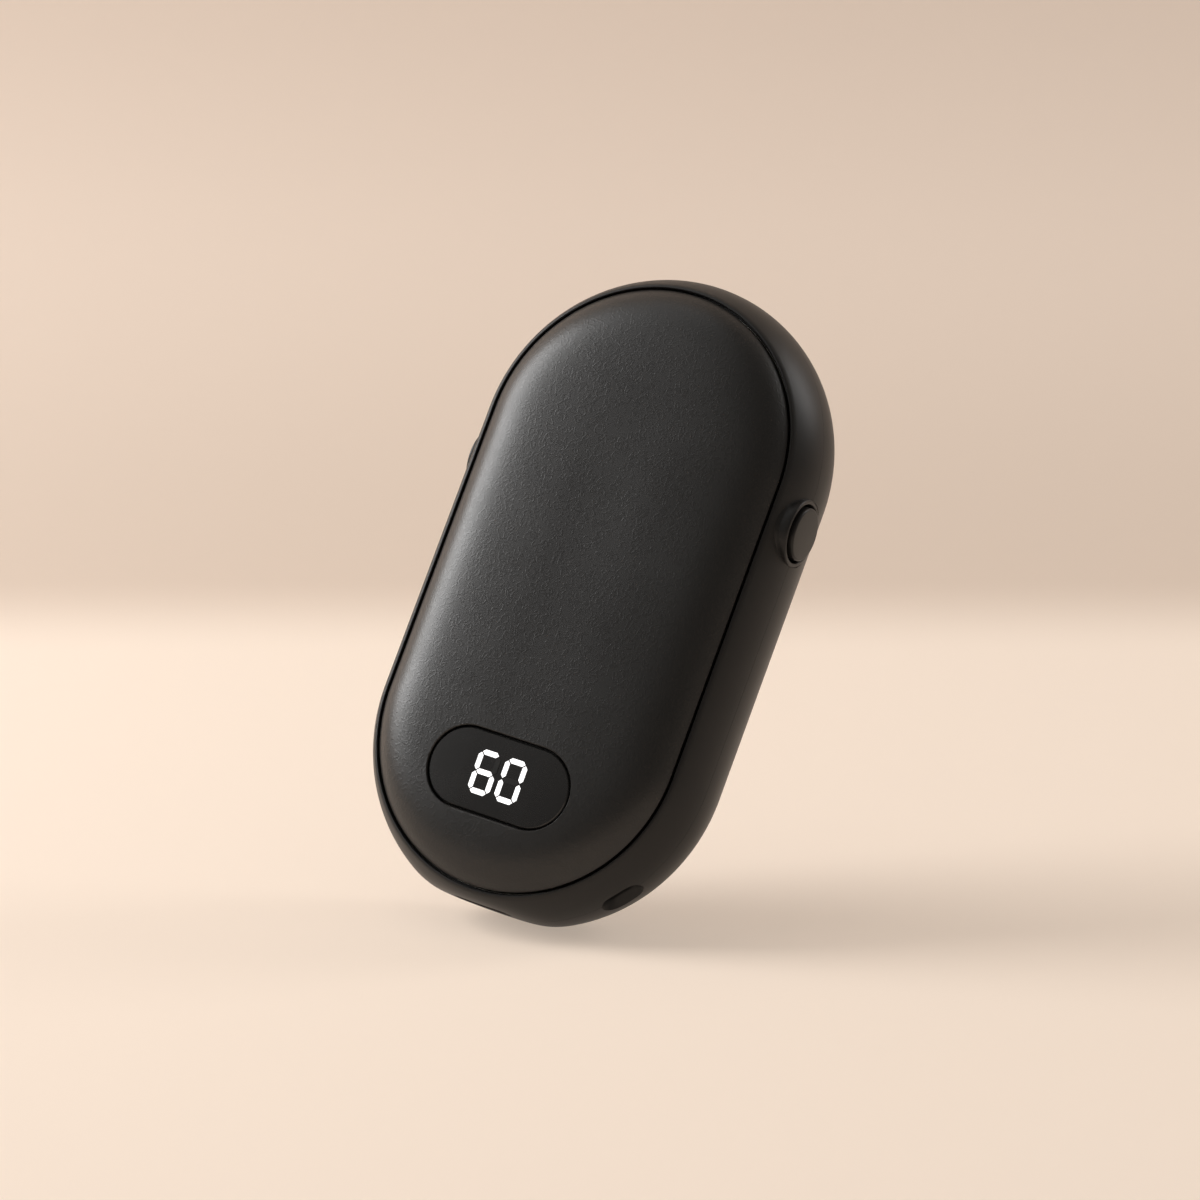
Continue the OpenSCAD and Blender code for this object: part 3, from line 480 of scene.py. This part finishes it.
panelGrain = {
    "perMetre": 820,        # cells, about one in each millimetre
    "ring": 0.44,           # radius of a ring, as a share of its cell
    "line": 0.17,           # half width of its line
    "gaps": 0.37,           # how far the rings are broken open
    "reliefDepth": 0.003,   # mm, in the mesh
    "bump": -0.0075,        # mm deep in the shader: below zero, the curls stand up a little
    "dulling": -0.03,       # added roughness on the lines
    "shade": -0.05,         # painted highlight: below zero, the lines' colour is lighter, as if light caught their raised crests
}
finishes = {
    "grained_panel": newMaterial("grainedPanel", (0.009, 0.0088, 0.0085), 0.39, tone=0.1, curls=panelGrain,
                                 bump=0.002, Specular_IOR_Level=0.5),
    "housing": newMaterial("smoothHousing", (0.0115, 0.0112, 0.011), 0.42, tone=0.08, bump=0.0012,
                           Specular_IOR_Level=0.32),
    "button": newMaterial("smoothButton", (0.010, 0.0098, 0.0095), 0.42, tone=0.08, bump=0.0012,
                          Specular_IOR_Level=0.3),
    "display_lens": newMaterial("smokedLens", (0.005, 0.005, 0.005), 0.27, tone=0.05, unevenness=0.03,
                                bump=0.0003, Specular_IOR_Level=0.6),
    "lit_stroke": newMaterial("litStroke", (0.92, 0.93, 0.95), 0.4, tone=0.02,
                              Emission_Color=(1, 1, 1, 1), Emission_Strength=0.9),
    "dark_stroke": newMaterial("darkStroke", (0.014, 0.014, 0.014), 0.3, tone=0.05, bump=0.0006),
    "heat_plate": newMaterial("rolledPlate", (0.75, 0.75, 0.77), 0.35, tone=0.08, grains=3000, Metallic=1.0),
    "heater_film": newMaterial("amberFilm", (0.75, 0.42, 0.10), 0.3, tone=0.12, clouds=160, Coat_Weight=0.4),
    "foam": newMaterial("insulationFoam", (0.30, 0.30, 0.32), 0.9, tone=0.4, grains=3500, bump=0.05),
    "adhesive_tape": newMaterial("adhesiveTape", (0.8, 0.8, 0.76), 0.5, tone=0.06, grains=5000),
    "circuit_board": newMaterial("solderMask", (0.05, 0.25, 0.12), 0.3, tone=0.15, clouds=300,
                                 Coat_Weight=0.5),
    "chip_resin": newMaterial("chipResin", (0.03, 0.03, 0.035), 0.45, tone=0.2, grains=14000),
    "steel": newMaterial("platedSteel", (0.7, 0.7, 0.72), 0.3, tone=0.06, unevenness=0.1, grains=6000,
                         bump=0.0015, Metallic=1.0),
    "inner_plastic": newMaterial("innerPlastic", (0.10, 0.10, 0.11), 0.5, tone=0.12),
    "plunger": newMaterial("plungerPlastic", (0.85, 0.85, 0.83), 0.35, tone=0.05),
    "cell_pouch": newMaterial("cellPouch", (0.60, 0.62, 0.66), 0.35, tone=0.08, clouds=140, Metallic=1.0),
    "lead_cover": newMaterial("leadCover", (0.55, 0.06, 0.05), 0.45, tone=0.1),
    "contact": newMaterial("goldContact", (0.83, 0.62, 0.28), 0.25, tone=0.05, Metallic=1.0),
}
finishes["digit_light"] = finishes["dark_stroke"]
for row in frame["record"]["subparts"]:
    mesh = nodes[row["node"]].data
    mesh.materials.clear()
    mesh.materials.append(finishes[row["material_slot"]])
print("materials made")

# The body, in millimetres: r runs out from the centre line, h up from the middle plane to the front
body = {
    "halfWidth": 28, "spine": 22.7, "shift": -0.7,                    # outline, seen from the front
    "seamH": 8.2, "rimInset": 2.8, "wall": 1.8, "rimBevel": 0.15, "lip": 0.1,
    "rebateR": 24.8, "ledgeTop": 6.5, "ledgeIn": 22.35, "ledgeBot": 5.3,
    "panelR": 24.4, "panelEdge": 0.5, "flangeLow": 6.65, "innerR": 22.7, "innerBase": 7.4, "innerH": 10.9,
    "crownH": 12.5, "flatR": 5, "crownShare": 0.3, "edgePower": 8,    # the panel's crown
    "tipZ": -50, "tipInside": -44.5, "tipRound": 2.2,                 # flat at the lower tip
    "partingH": 2, "partingGap": 0.03,
    "panelPath": 19, "panelStations": 880, "panelRows": 84, "crownSteps": 4000,
    "housingPath": 24, "housingStations": 520, "wallRows": 34, "innerRows": 6,
    "underRows": (1, 0.94, 0.85, 0.7, 0.4, 0), "grainClear": 0.3, "smoothAngle": 32,
}
sideArc = (body["rimInset"] ** 2 + body["seamH"] ** 2) / (2 * body["rimInset"])
farFloor = -1000    # where a section has no flat at the tip


def sideR(h, inset=0.0):
    return body["halfWidth"] - sideArc + math.sqrt((sideArc - inset) ** 2 - h * h)


def crownAt(r, edge, base, top):
    q = min(max((r - body["flatR"]) / (edge - body["flatR"]), 0), 1)
    share = body["crownShare"]
    return base + (top - base) * (share * (1 - q ** 2) + (1 - share) * (1 - q ** body["edgePower"]))


def panelTop(r):
    return crownAt(r, body["panelR"], body["seamH"], body["crownH"])


# Distance of a point in the front view from the body's centre line
def lineR(x, z):
    past = max(abs(z - body["shift"]) - body["spine"], 0)
    return math.hypot(x, past)


# Sweeps a section, given as r, h and the lowest z, round the body
def sweepSection(name, section, stations, material, pathRadius):
    edges = [(i, i + 1) for i in range(len(section) - 1)]
    piece = newPiece(name, section, edges=edges)
    runTree(piece, trees["bodySweep"], {
        "Stations": stations, "Path Radius": pathRadius * mm, "Spine": body["spine"] * mm,
        "Shift": body["shift"] * mm, "Rounding": body["tipRound"] * mm, "Material": material})
    openEdges = mend(piece, thin=1e-8)
    print(name, len(piece.data.vertices), "points,", openEdges, "open edges")
    return piece


trees = {"bodySweep": bodySweepTree(), "grainRelief": grainReliefTree(), "contactRow": rowTree()}


# Section of the front panel: crown from the centre out, side, and underside back in
def panelSection():
    edge, steps = body["panelR"], body["crownSteps"]
    fine = [(edge * i / steps, panelTop(edge * i / steps)) for i in range(steps + 1)]
    lengths = [0]
    for a, b in zip(fine, fine[1:]):
        lengths.append(lengths[-1] + math.hypot(b[0] - a[0], b[1] - a[1]))
    out = []
    k = 0
    for i in range(body["panelRows"] + 1):
        want = lengths[-1] * i / body["panelRows"]
        while k < steps and lengths[k] < want:
            k += 1
        out.append(fine[k])
    out += [(edge, body["seamH"] - body["panelEdge"]), (edge, body["flangeLow"])]
    out.append((body["innerR"], body["flangeLow"]))
    for share in body["underRows"]:
        r = body["innerR"] * share
        out.append((r, crownAt(r, body["innerR"], body["innerBase"], body["innerH"])))
    return [(r, h, farFloor) for r, h in out]


# Turns a front piece into its rear twin
def mirrored(piece):
    shape = bmesh.new()
    shape.from_mesh(piece.data)
    for vert in shape.verts:
        vert.co.y = -vert.co.y
    bmesh.ops.reverse_faces(shape, faces=shape.faces)
    shape.to_mesh(piece.data)
    shape.free()


# Values of the display, in millimetres
display = {
    "z": -31.75, "lensW": 23.6, "lensH": 12, "lensT": 1.9, "sink": 0.15, "gap": 0.25, "chamfer": 0.24,
    "tape": 0.1, "shelfT": 1.2, "shelfH": 1.9, "windowRim": 2.5, "cutLow": 5, "cutHigh": 14,
    "holeEdge": ((0, -0.17), (0.05, -0.09), (0.16, 0.01), (0.25, 0.06)),    # grown by, over the crown
    "lensInsets": (0.5, 1.2, 2.2, 3.4, 4.8, 5.6, 5.99), "lensMid": (0.08, 0.13),
    "lensSteps": 32, "lensSmooth": 25,
    "digitH": 6.7, "digitW": 3.8, "pitch": 4.6, "stroke": 0.8, "strokeGap": 0.26, "strokeOver": 0.012,
    "guideT": 0.9, "guideRim": 2.2, "guideLift": 0.05, "shown": "60",
}
displayPlace = placeFrom((1, 0, 0), (0, 0, 1), (0, -1, 0), (0, 0, display["z"]))
lensLow = body["crownH"] - display["sink"] - display["lensT"]


def makePanel(name, front):
    piece = sweepSection(name, panelSection(), body["panelStations"] + 1, finishes["grained_panel"],
                         body["panelPath"])
    runTree(piece, trees["grainRelief"], {
        "Depth": panelGrain["reliefDepth"] * mm, "Curls per Metre": float(panelGrain["perMetre"]),
        "Ring": panelGrain["ring"], "Line": panelGrain["line"], "Gaps": panelGrain["gaps"],
        "Seam Height": (body["seamH"] + body["grainClear"]) * mm, "Material": finishes["grained_panel"]})
    if front:
        w, h = display["lensW"] + 2 * display["gap"], display["lensH"] + 2 * display["gap"]
        shelfTop = lensLow - display["tape"]
        shelfLow = shelfTop - display["shelfT"]
        slab = [obround(w, h, high, display["shelfT"]) for high in (shelfLow, shelfLow + display["shelfH"])]
        combine(piece, loftPiece("shelf", slab, displayPlace), "UNION")
        hole = [obround(w, h, shelfTop)]
        for grow, rise in display["holeEdge"]:
            hole.append([(x, y, panelTop(lineR(x, y + display["z"])) + rise)
                         for x, y, _ in obround(w, h, 0, grow)])
        hole.append(obround(w, h, display["cutHigh"], grow))
        combine(piece, loftPiece("lensHole", hole, displayPlace), "DIFFERENCE")
        rim = display["windowRim"]
        window = [obround(w - rim, h - rim, high) for high in (display["cutLow"], display["cutHigh"])]
        combine(piece, loftPiece("window", window, displayPlace), "DIFFERENCE")
    else:
        mirrored(piece)
    shade(piece, body["smoothAngle"])
    print(name, len(piece.data.polygons), "faces")
    return piece


for name, node in (("frontPanelSkin", "front_panel"), ("rearPanelSkin", "rear_panel")):
    panel = makePanel(name, node == "front_panel")
    seat(panel, node, "warmer_body", finishes["grained_panel"])
print("panels made")


# The housings: one ring, its pads, recesses, eye and socket, then parted
def ringSection():
    tip, seam, bevel, lip = body["tipZ"], body["seamH"], body["rimBevel"], body["lip"]
    low = seam - bevel
    heights = [low * (2 * i / body["wallRows"] - 1) for i in range(body["wallRows"] + 1)]
    outer = [(sideR(h), h, tip) for h in heights]
    cornerIn = bevel * 0.3  # pulls the bevel's corner in, so that it is rounded
    rim = [(sideR(seam) - cornerIn, seam - cornerIn, tip), (sideR(seam) - bevel, seam, tip)]
    rim += [(body["rebateR"] + lip, seam, farFloor), (body["rebateR"], seam - lip, farFloor)]
    rim += [(body["rebateR"], body["ledgeTop"], farFloor), (body["ledgeIn"], body["ledgeTop"], farFloor)]
    rim.append((body["ledgeIn"], body["ledgeBot"], farFloor))
    inner = []
    for i in range(body["innerRows"] + 1):
        h = body["ledgeBot"] * (1 - 2 * i / body["innerRows"])
        inner.append((sideR(h, body["wall"]), h, body["tipInside"]))
    back = [(r, -h, floor) for r, h, floor in reversed(rim)]
    section = outer + rim + inner + back
    return section + [section[0]]


# Values of the buttons, in millimetres, outwards from the body's centre line
button = {
    "power": {"side": 1, "h": 2, "z": 17.2},
    "mode": {"side": -1, "h": -0.8, "z": 14.8},
    "steps": 96,
    "capR": 4.05, "capOut": 0.75, "capRound": 0.35, "roundSteps": 7, "dome": 0.1, "capFoot": 26.75,
    "domeRows": ((0.001, 0), (1, 0.06), (2, 0.28), (3, 0.65)),    # radius, and share of the dome
    "stemR": 1.6, "stemEnd": 23.66, "stemGap": 0.3, "padR": 4.2, "padLow": 24.3, "padTop": 26.3,
    "boreR": 4.5, "boreTop": 27, "crestR": 5.17, "fit": 0.02, "collarOut": 0.02, "footR": 5.36,
    "floorX": 26.2, "collarFoot": 0.3, "cutTop": 31, "sink": 0.01, "capSmooth": 35, "collarSmooth": 40,
    # radius from the bore, and drop from the collar's face
    "crestRows": ((0, 0.17), (0.03, 0.08), (0.09, 0.02), (0.18, 0), (0.42, 0), (0.54, 0.03), (0.62, 0.09),
                  (0.67, 0.19)),
    # share of the way to the foot, and share of the drop to the wall
    "footRows": ((0, 0.45), (0.015, 0.7), (0.07, 0.87), (0.17, 0.96), (1, 1.0)),
}


def buttonPlace(which):
    side = which["side"]
    return placeFrom((0, 0, 1), (0, -side, 0), (side, 0, 0), (0, -which["h"], which["z"]))


# Values of the strap eye and of the socket's mouth, in millimetres
eye = {
    "angle": 48,    # degrees from the lower tip
    "h": 1.3, "long": 5.4, "wide": 2.9, "deep": 4.6,
    "flare": 0.95, "flareDeep": 1.5, "flareRows": 8, "flareCurve": 1.15, "above": 1.2, "aboveGrow": 2.1,
    "cupLong": 9.4, "cupWide": 6.4, "cupLow": -6, "cupTop": -1.25,
}
usb = {
    "y": -2.15, "w": 9.24, "h": 3.5, "deep": 8,
    "flare": 0.35, "flareDeep": 0.5, "above": 2, "aboveGrow": 3,
}
# Reach of the blocks that part the housings, in millimetres
shellCut = {"across": 60, "high": 20}


def makeHousings():
    ring = sweepSection("ring", ringSection(), body["housingStations"] + 1, finishes["housing"],
                        body["housingPath"])
    stages = (("pad", "UNION", button["padR"], button["padLow"], button["padTop"]),
              ("recess", "DIFFERENCE", button["crestR"] + button["fit"], button["floorX"], button["cutTop"]),
              ("bore", "DIFFERENCE", button["stemR"] + button["stemGap"], button["padLow"] - 1,
               button["boreTop"]))
    for which in (button["power"], button["mode"]):
        for name, operation, r, low, high in stages:
            disk = [circleRing(r, x) for x in (low, high)]
            combine(ring, loftPiece(name, disk, buttonPlace(which)), operation)
    turn = math.radians(eye["angle"])
    out = Vector((math.sin(turn), 0, -math.cos(turn)))
    rim = Vector((math.cos(turn), 0, math.sin(turn)))
    centre = Vector((0, -eye["h"], body["shift"] - body["spine"])) + out * body["halfWidth"]
    eyePlace = placeFrom(rim, out.cross(rim), out, centre)
    cup = [obround(eye["cupLong"], eye["cupWide"], high) for high in (eye["cupLow"], eye["cupTop"])]
    combine(ring, loftPiece("cup", cup, eyePlace), "UNION")
    slot = [obround(eye["long"], eye["wide"], -eye["deep"])]
    for i in range(eye["flareRows"] + 1):
        share = i / eye["flareRows"]
        slot.append(obround(eye["long"], eye["wide"], -eye["flareDeep"] * (1 - share),
                            eye["flare"] * share ** eye["flareCurve"]))
    slot.append(obround(eye["long"], eye["wide"], eye["above"], eye["flare"] * eye["aboveGrow"]))
    combine(ring, loftPiece("slot", slot, eyePlace), "DIFFERENCE")
    socketPlace = placeFrom((1, 0, 0), (0, -1, 0), (0, 0, -1), (0, usb["y"], body["tipZ"]))
    mouth = [obround(usb["w"], usb["h"], high, grow)
             for high, grow in ((-usb["deep"], 0), (-usb["flareDeep"], 0), (0, usb["flare"]),
                                (usb["above"], usb["flare"] * usb["aboveGrow"]))]
    combine(ring, loftPiece("mouth", mouth, socketPlace), "DIFFERENCE")
    halves = []
    across, high = shellCut["across"], shellCut["high"]
    front, rear = (body["partingH"] + side * body["partingGap"] / 2 for side in (1, -1))
    corners = ((-across, -across), (across, -across), (across, across), (-across, across))
    for name, ends in (("frontShell", (front, high)), ("rearShell", (-high, rear))):
        half = ring.copy()
        half.data = ring.data.copy()
        half.name = name
        scene.collection.objects.link(half)
        block = [[(x, -h, z) for x, z in corners] for h in ends]
        combine(half, loftPiece("block", block), "INTERSECT")
        shade(half, body["smoothAngle"])
        print(name, len(half.data.polygons), "faces")
        halves.append(half)
    bpy.data.objects.remove(ring)
    return halves


frontShell, rearShell = makeHousings()
seat(frontShell, "front_housing", "warmer_body", finishes["housing"])
seat(rearShell, "rear_housing", "warmer_body", finishes["housing"])
print("housings made")


# Buttons: a turned cap, and a collar whose foot runs out onto the wall
def makeCap(name, which):
    top = body["halfWidth"] + button["capOut"]
    r, corner = button["capR"], button["capRound"]
    rows = [(out, top - button["dome"] * share) for out, share in button["domeRows"]]
    for i in range(button["roundSteps"] + 1):
        turn = math.pi / 2 * i / button["roundSteps"]
        rows.append((r - corner + corner * math.sin(turn),
                     top - button["dome"] - corner * (1 - math.cos(turn))))
    rows += [(r, button["capFoot"]), (button["stemR"], button["capFoot"])]
    rows += [(button["stemR"], button["stemEnd"]), (rows[0][0], button["stemEnd"])]
    piece = loftPiece(name, [circleRing(a, b, button["steps"]) for a, b in rows], buttonPlace(which))
    shade(piece, button["capSmooth"])
    return piece


def makeCollar(name, which):
    face = body["halfWidth"] + button["collarOut"]
    bore, crest, foot, count = button["boreR"], button["crestR"], button["footR"], button["steps"]
    rings = [circleRing(bore, button["floorX"], count)]
    rings += [circleRing(bore + out, face - drop, count) for out, drop in button["crestRows"]]
    start = face - button["crestRows"][-1][1]
    for grow, share in button["footRows"]:
        r = crest + (foot - crest) * grow
        ring = []
        for x, y, _ in circleRing(r, 0, count):
            wall = sideR(which["h"] + which["side"] * y) - button["sink"]
            ring.append((x, y, start + min(wall - start, 0) * share))
        rings.append(ring)
    rings += [circleRing(crest, button["floorX"] + rise, count) for rise in (button["collarFoot"], 0)]
    # The ends join into a ring, so the mesh is made here without caps
    place = buttonPlace(which)
    points = [place @ Vector(p) for ring in rings for p in ring]
    piece = newPiece(name, points, ringFaces(len(rings), count, closed=True))
    mend(piece)
    shade(piece, button["collarSmooth"])
    return piece


for key in ("power", "mode"):
    cap = makeCap(key + "CapSkin", button[key])
    seat(cap, key + "_button_cap", key + "_button", finishes["button"])
    collar = makeCollar(key + "CollarSkin", button[key])
    seat(collar, key + "_button_collar", "warmer_body", finishes["housing"])
print("buttons made")


# Display: the lens follows the crown, and the strokes come up to its face
def lensTop(x, z):
    return panelTop(lineR(x, z + display["z"])) - display["sink"]


def makeLens():
    w, h, steps = display["lensW"], display["lensH"], display["lensSteps"]
    rings = [obround(w, h, lensLow, 0, steps)]
    insets = [(0, display["chamfer"]), display["lensMid"], (display["chamfer"], 0)]
    for inset, drop in insets + [(inset, 0) for inset in display["lensInsets"]]:
        flat = obround(w, h, 0, -inset, steps)
        rings.append([(x, y, lensTop(x, y) - drop) for x, y, _ in flat])
    piece = loftPiece("lensSkin", rings, displayPlace)
    shade(piece, display["lensSmooth"])
    return piece


# Letter, place, length and direction of each stroke of a digit
def strokeList():
    across, up = display["digitW"] - display["stroke"], (display["digitH"] - display["stroke"]) / 2
    out = [("dga"[row + 1], 0, row * up, across, False) for row in (-1, 0, 1)]
    for letter, side, row in (("e", -1, -1), ("f", -1, 1), ("c", 1, -1), ("b", 1, 1)):
        out.append((letter, side * across / 2, row * up / 2, up, True))
    return out


litStrokes = {"6": "acdefg", "0": "abcdef"}
square = ((-1, -1), (1, -1), (1, 1), (-1, 1))
boxFaces = ((3, 2, 1, 0), (4, 5, 6, 7), (0, 1, 5, 4), (1, 2, 6, 5), (2, 3, 7, 6), (3, 0, 4, 7))


def makeStrokes():
    points, faces, lit = [], [], []
    low = lensLow + display["guideLift"]
    for place, figure in zip((-1, 1), display["shown"]):
        for letter, x, y, length, standing in strokeList():
            half, thick = length / 2 - display["strokeGap"] / 2, display["stroke"] / 2
            shape = [(-half, 0), (thick - half, -thick), (half - thick, -thick), (half, 0),
                     (half - thick, thick), (thick - half, thick)]
            if standing:
                shape = [(-b, a) for a, b in shape]
            first = len(points)
            spots = [(x + a + place * display["pitch"] / 2, y + b) for a, b in shape]
            points += [(a, b, low) for a, b in spots]
            points += [(a, b, lensTop(a, b) + display["strokeOver"]) for a, b in spots]
            made = [tuple(first + i for i in reversed(range(6))), tuple(first + 6 + i for i in range(6))]
            made += [tuple(first + i for i in face) for face in ringFaces(2, 6)]
            faces += made
            lit += [letter in litStrokes[figure]] * len(made)
    w = display["pitch"] + display["digitW"] + display["guideRim"]
    h = display["digitH"] + display["guideRim"]
    first = len(points)
    for high in (lensLow - display["guideT"], low):
        points += [(a * w / 2, b * h / 2, high) for a, b in square]
    faces += [tuple(first + i for i in face) for face in boxFaces]
    lit += [False] * len(boxFaces)
    piece = newPiece("strokeSkin", [displayPlace @ Vector(p) for p in points], faces)
    seat(piece, "digit_light_guide", "warmer_body", finishes["dark_stroke"])
    piece.data.materials.append(finishes["lit_stroke"])
    for polygon, on in zip(piece.data.polygons, lit):
        polygon.material_index = 1 if on else 0


seat(makeLens(), "display_lens", "warmer_body", finishes["display_lens"])
makeStrokes()
print("display made")

# Contacts of the socket, in two rows on its tongue, in millimetres
contacts = {"count": 12, "pitch": 0.5, "w": 0.26, "long": 2.6, "thick": 0.04, "out": 0.35, "start": 0.5}


def makeContacts():
    low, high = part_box("usb_c_tongue")
    middle = (low[1] + high[1]) / 2 / mm
    start = low[2] / mm + contacts["start"]
    for name, side in (("contacts_front", -1), ("contacts_rear", 1)):
        face = middle + side * contacts["out"]
        corners = [(a * contacts["w"] / 2, face + b * contacts["thick"] / 2, start + c * contacts["long"])
                   for c in (0, 1) for a, b in square]
        row = newPiece(name, corners, boxFaces)
        runTree(row, trees["contactRow"], {"Count": contacts["count"], "Pitch": contacts["pitch"] * mm,
                                           "Material": finishes["contact"]})
        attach(row, "warmer_body")


makeContacts()
print("contacts made")

# The studio: a floor and a wall in one sweep, seen from the front only, the wall with painted shade; lengths
# in metres
studio = {
    "floorPitch": 11,        # degrees that the camera looks down on the floor
    "floorReach": 7,         # from the body to the edges of the floor
    "wallBehind": 0.36,      # from the body to the wall
    "sweepRadius": 0.12,
    "sweepSteps": 24,
    "wallHeight": 1.6,
    "floorColour": (0.92, 0.775, 0.65),
    # The wall's two tones are darker than the floor's: painted shade, as on a wall that gets less light than
    # the floor
    "wallLowShade": (0.705, 0.57, 0.465),
    "wallHighShade": (0.83, 0.68, 0.565),
    "horizon": 0.0045,       # from the body's middle down to where the wall's painted shade starts
    "lowBand": (-0.007, 0.009),    # where the floor's colour goes over into the wall's darker painted shade, up the picture
    "highBand": (0.01, 0.1),       # and the wall's low painted shade into its lighter high one
    "glow": 0.45,            # share of the backdrop's colour that the camera sees without any lamp
    "wholeShare": 1.06,      # that share and the lit share together
    "roughness": 0.9,
    "specular": 0.1,
}


def studioAxes(values):
    pitch = math.radians(values["floorPitch"])
    up = math.cos(pitch) * viewUp - math.sin(pitch) * viewLook
    forward = (viewLook - up * viewLook.dot(up)).normalized()
    return viewRight, forward, up


def makeSweep(values):
    right, forward, up = studioAxes(values)
    low = min(v.co.dot(up) for piece in (frontShell, rearShell) for v in piece.data.vertices)
    radius, reach = values["sweepRadius"], values["floorReach"]
    profile = [(-reach, 0), (values["wallBehind"] - radius, 0)]
    for i in range(1, values["sweepSteps"] + 1):
        angle = math.pi / 2 * i / values["sweepSteps"]
        profile.append((values["wallBehind"] - radius + radius * math.sin(angle),
                        radius * (1 - math.cos(angle))))
    profile.append((values["wallBehind"], values["wallHeight"]))
    points = []
    for along, high in profile:
        for side in (-1, 1):
            points.append((right * side * reach + forward * along + up * (low + high)) / mm)
    faces = [(2 * i, 2 * i + 1, 2 * i + 3, 2 * i + 2) for i in range(len(profile) - 1)]
    sweep = newPiece("sweep", points, faces)
    sweep.data.shade_smooth()
    return sweep


def sweepMaterial(values):
    material = newMaterial("sweepPaper", values["floorColour"], values["roughness"], bump=0)
    tree = material.node_tree
    shader = tree.nodes["Principled BSDF"]
    shader.inputs["Specular IOR Level"].default_value = values["specular"]
    place = tree.nodes.new("ShaderNodeTexCoord").outputs["Object"]
    # The colour darkens from the floor's to the wall's along the camera's up direction: painted shade on the
    # backdrop, placed by height in the picture
    level = calc(tree, "ADD", calcVector(tree, "DOT_PRODUCT", place, viewUp), values["horizon"])
    colour = (*values["floorColour"], 1)
    for band, tone in (("lowBand", "wallLowShade"), ("highBand", "wallHighShade")):
        blend = tree.nodes.new("ShaderNodeMix")
        blend.data_type = "RGBA"
        tree.links.new(smoothStep(tree, level, *values[band]), blend.inputs["Factor"])
        feed(tree, blend.inputs[6], colour)
        blend.inputs[7].default_value = (*values[tone], 1)
        colour = blend.outputs[2]
    lit = calcVector(tree, "SCALE", colour, values["wholeShare"] - values["glow"])
    tree.links.new(lit, shader.inputs["Base Color"])
    tree.links.new(colour, shader.inputs["Emission Color"])
    path = tree.nodes.new("ShaderNodeLightPath")
    seen = calc(tree, "MAXIMUM", path.outputs["Is Camera Ray"], path.outputs["Is Glossy Ray"])
    seen = calc(tree, "MAXIMUM", seen, path.outputs["Is Transmission Ray"])
    tree.links.new(calc(tree, "MULTIPLY", seen, values["glow"]), shader.inputs["Emission Strength"])
    # The sweep is clear from behind
    output = tree.nodes["Material Output"]
    back = tree.nodes.new("ShaderNodeNewGeometry")
    clear = tree.nodes.new("ShaderNodeBsdfTransparent")
    mix = tree.nodes.new("ShaderNodeMixShader")
    tree.links.new(back.outputs["Backfacing"], mix.inputs["Fac"])
    tree.links.new(shader.outputs["BSDF"], mix.inputs[1])
    tree.links.new(clear.outputs["BSDF"], mix.inputs[2])
    tree.links.new(mix.outputs["Shader"], output.inputs["Surface"])
    return material


sweep = makeSweep(studio)
sweep.data.materials.append(sweepMaterial(studio))
print("studio made")

# Softboxes round the body, each placed in metres to the camera's right, up and near it, and in watts
softboxes = {
    "key": {"side": -0.7, "high": 0.4, "near": -0.1, "size": 0.5, "power": 6.2},
    "over": {"side": -0.5, "high": 1.0, "near": -0.25, "size": 1.3, "power": 3.2},
    "fill": {"side": 0.8, "high": 0.5, "near": -0.3, "size": 0.5, "power": 3.2},
    "rearFill": {"side": 0.5, "high": 0.6, "near": -0.8, "size": 0.6, "power": 4.5},
}


def makeSoftbox(name, values):
    right, forward, up = studioAxes(studio)
    place = right * values["side"] + up * values["high"] - forward * values["near"]
    light = bpy.data.lights.new(name, "AREA")
    light.shape = "DISK"
    light.size = values["size"]
    light.energy = values["power"]
    lamp = bpy.data.objects.new(name, light)
    lamp.rotation_mode = "QUATERNION"
    lamp.rotation_quaternion = (-place).to_track_quat("-Z", "Y")
    lamp.location = place
    scene.collection.objects.link(lamp)


for name, values in softboxes.items():
    makeSoftbox(name, values)

roomLight = {"colour": (1.0, 0.91, 0.82), "strength": 0.22}
world = bpy.data.worlds.new("studioWorld")
scene.world = world
world.use_nodes = True
background = world.node_tree.nodes["Background"]
background.inputs["Color"].default_value = (*roomLight["colour"], 1)
background.inputs["Strength"].default_value = roomLight["strength"]
scene.view_settings.view_transform = "Standard"
print("lights made")
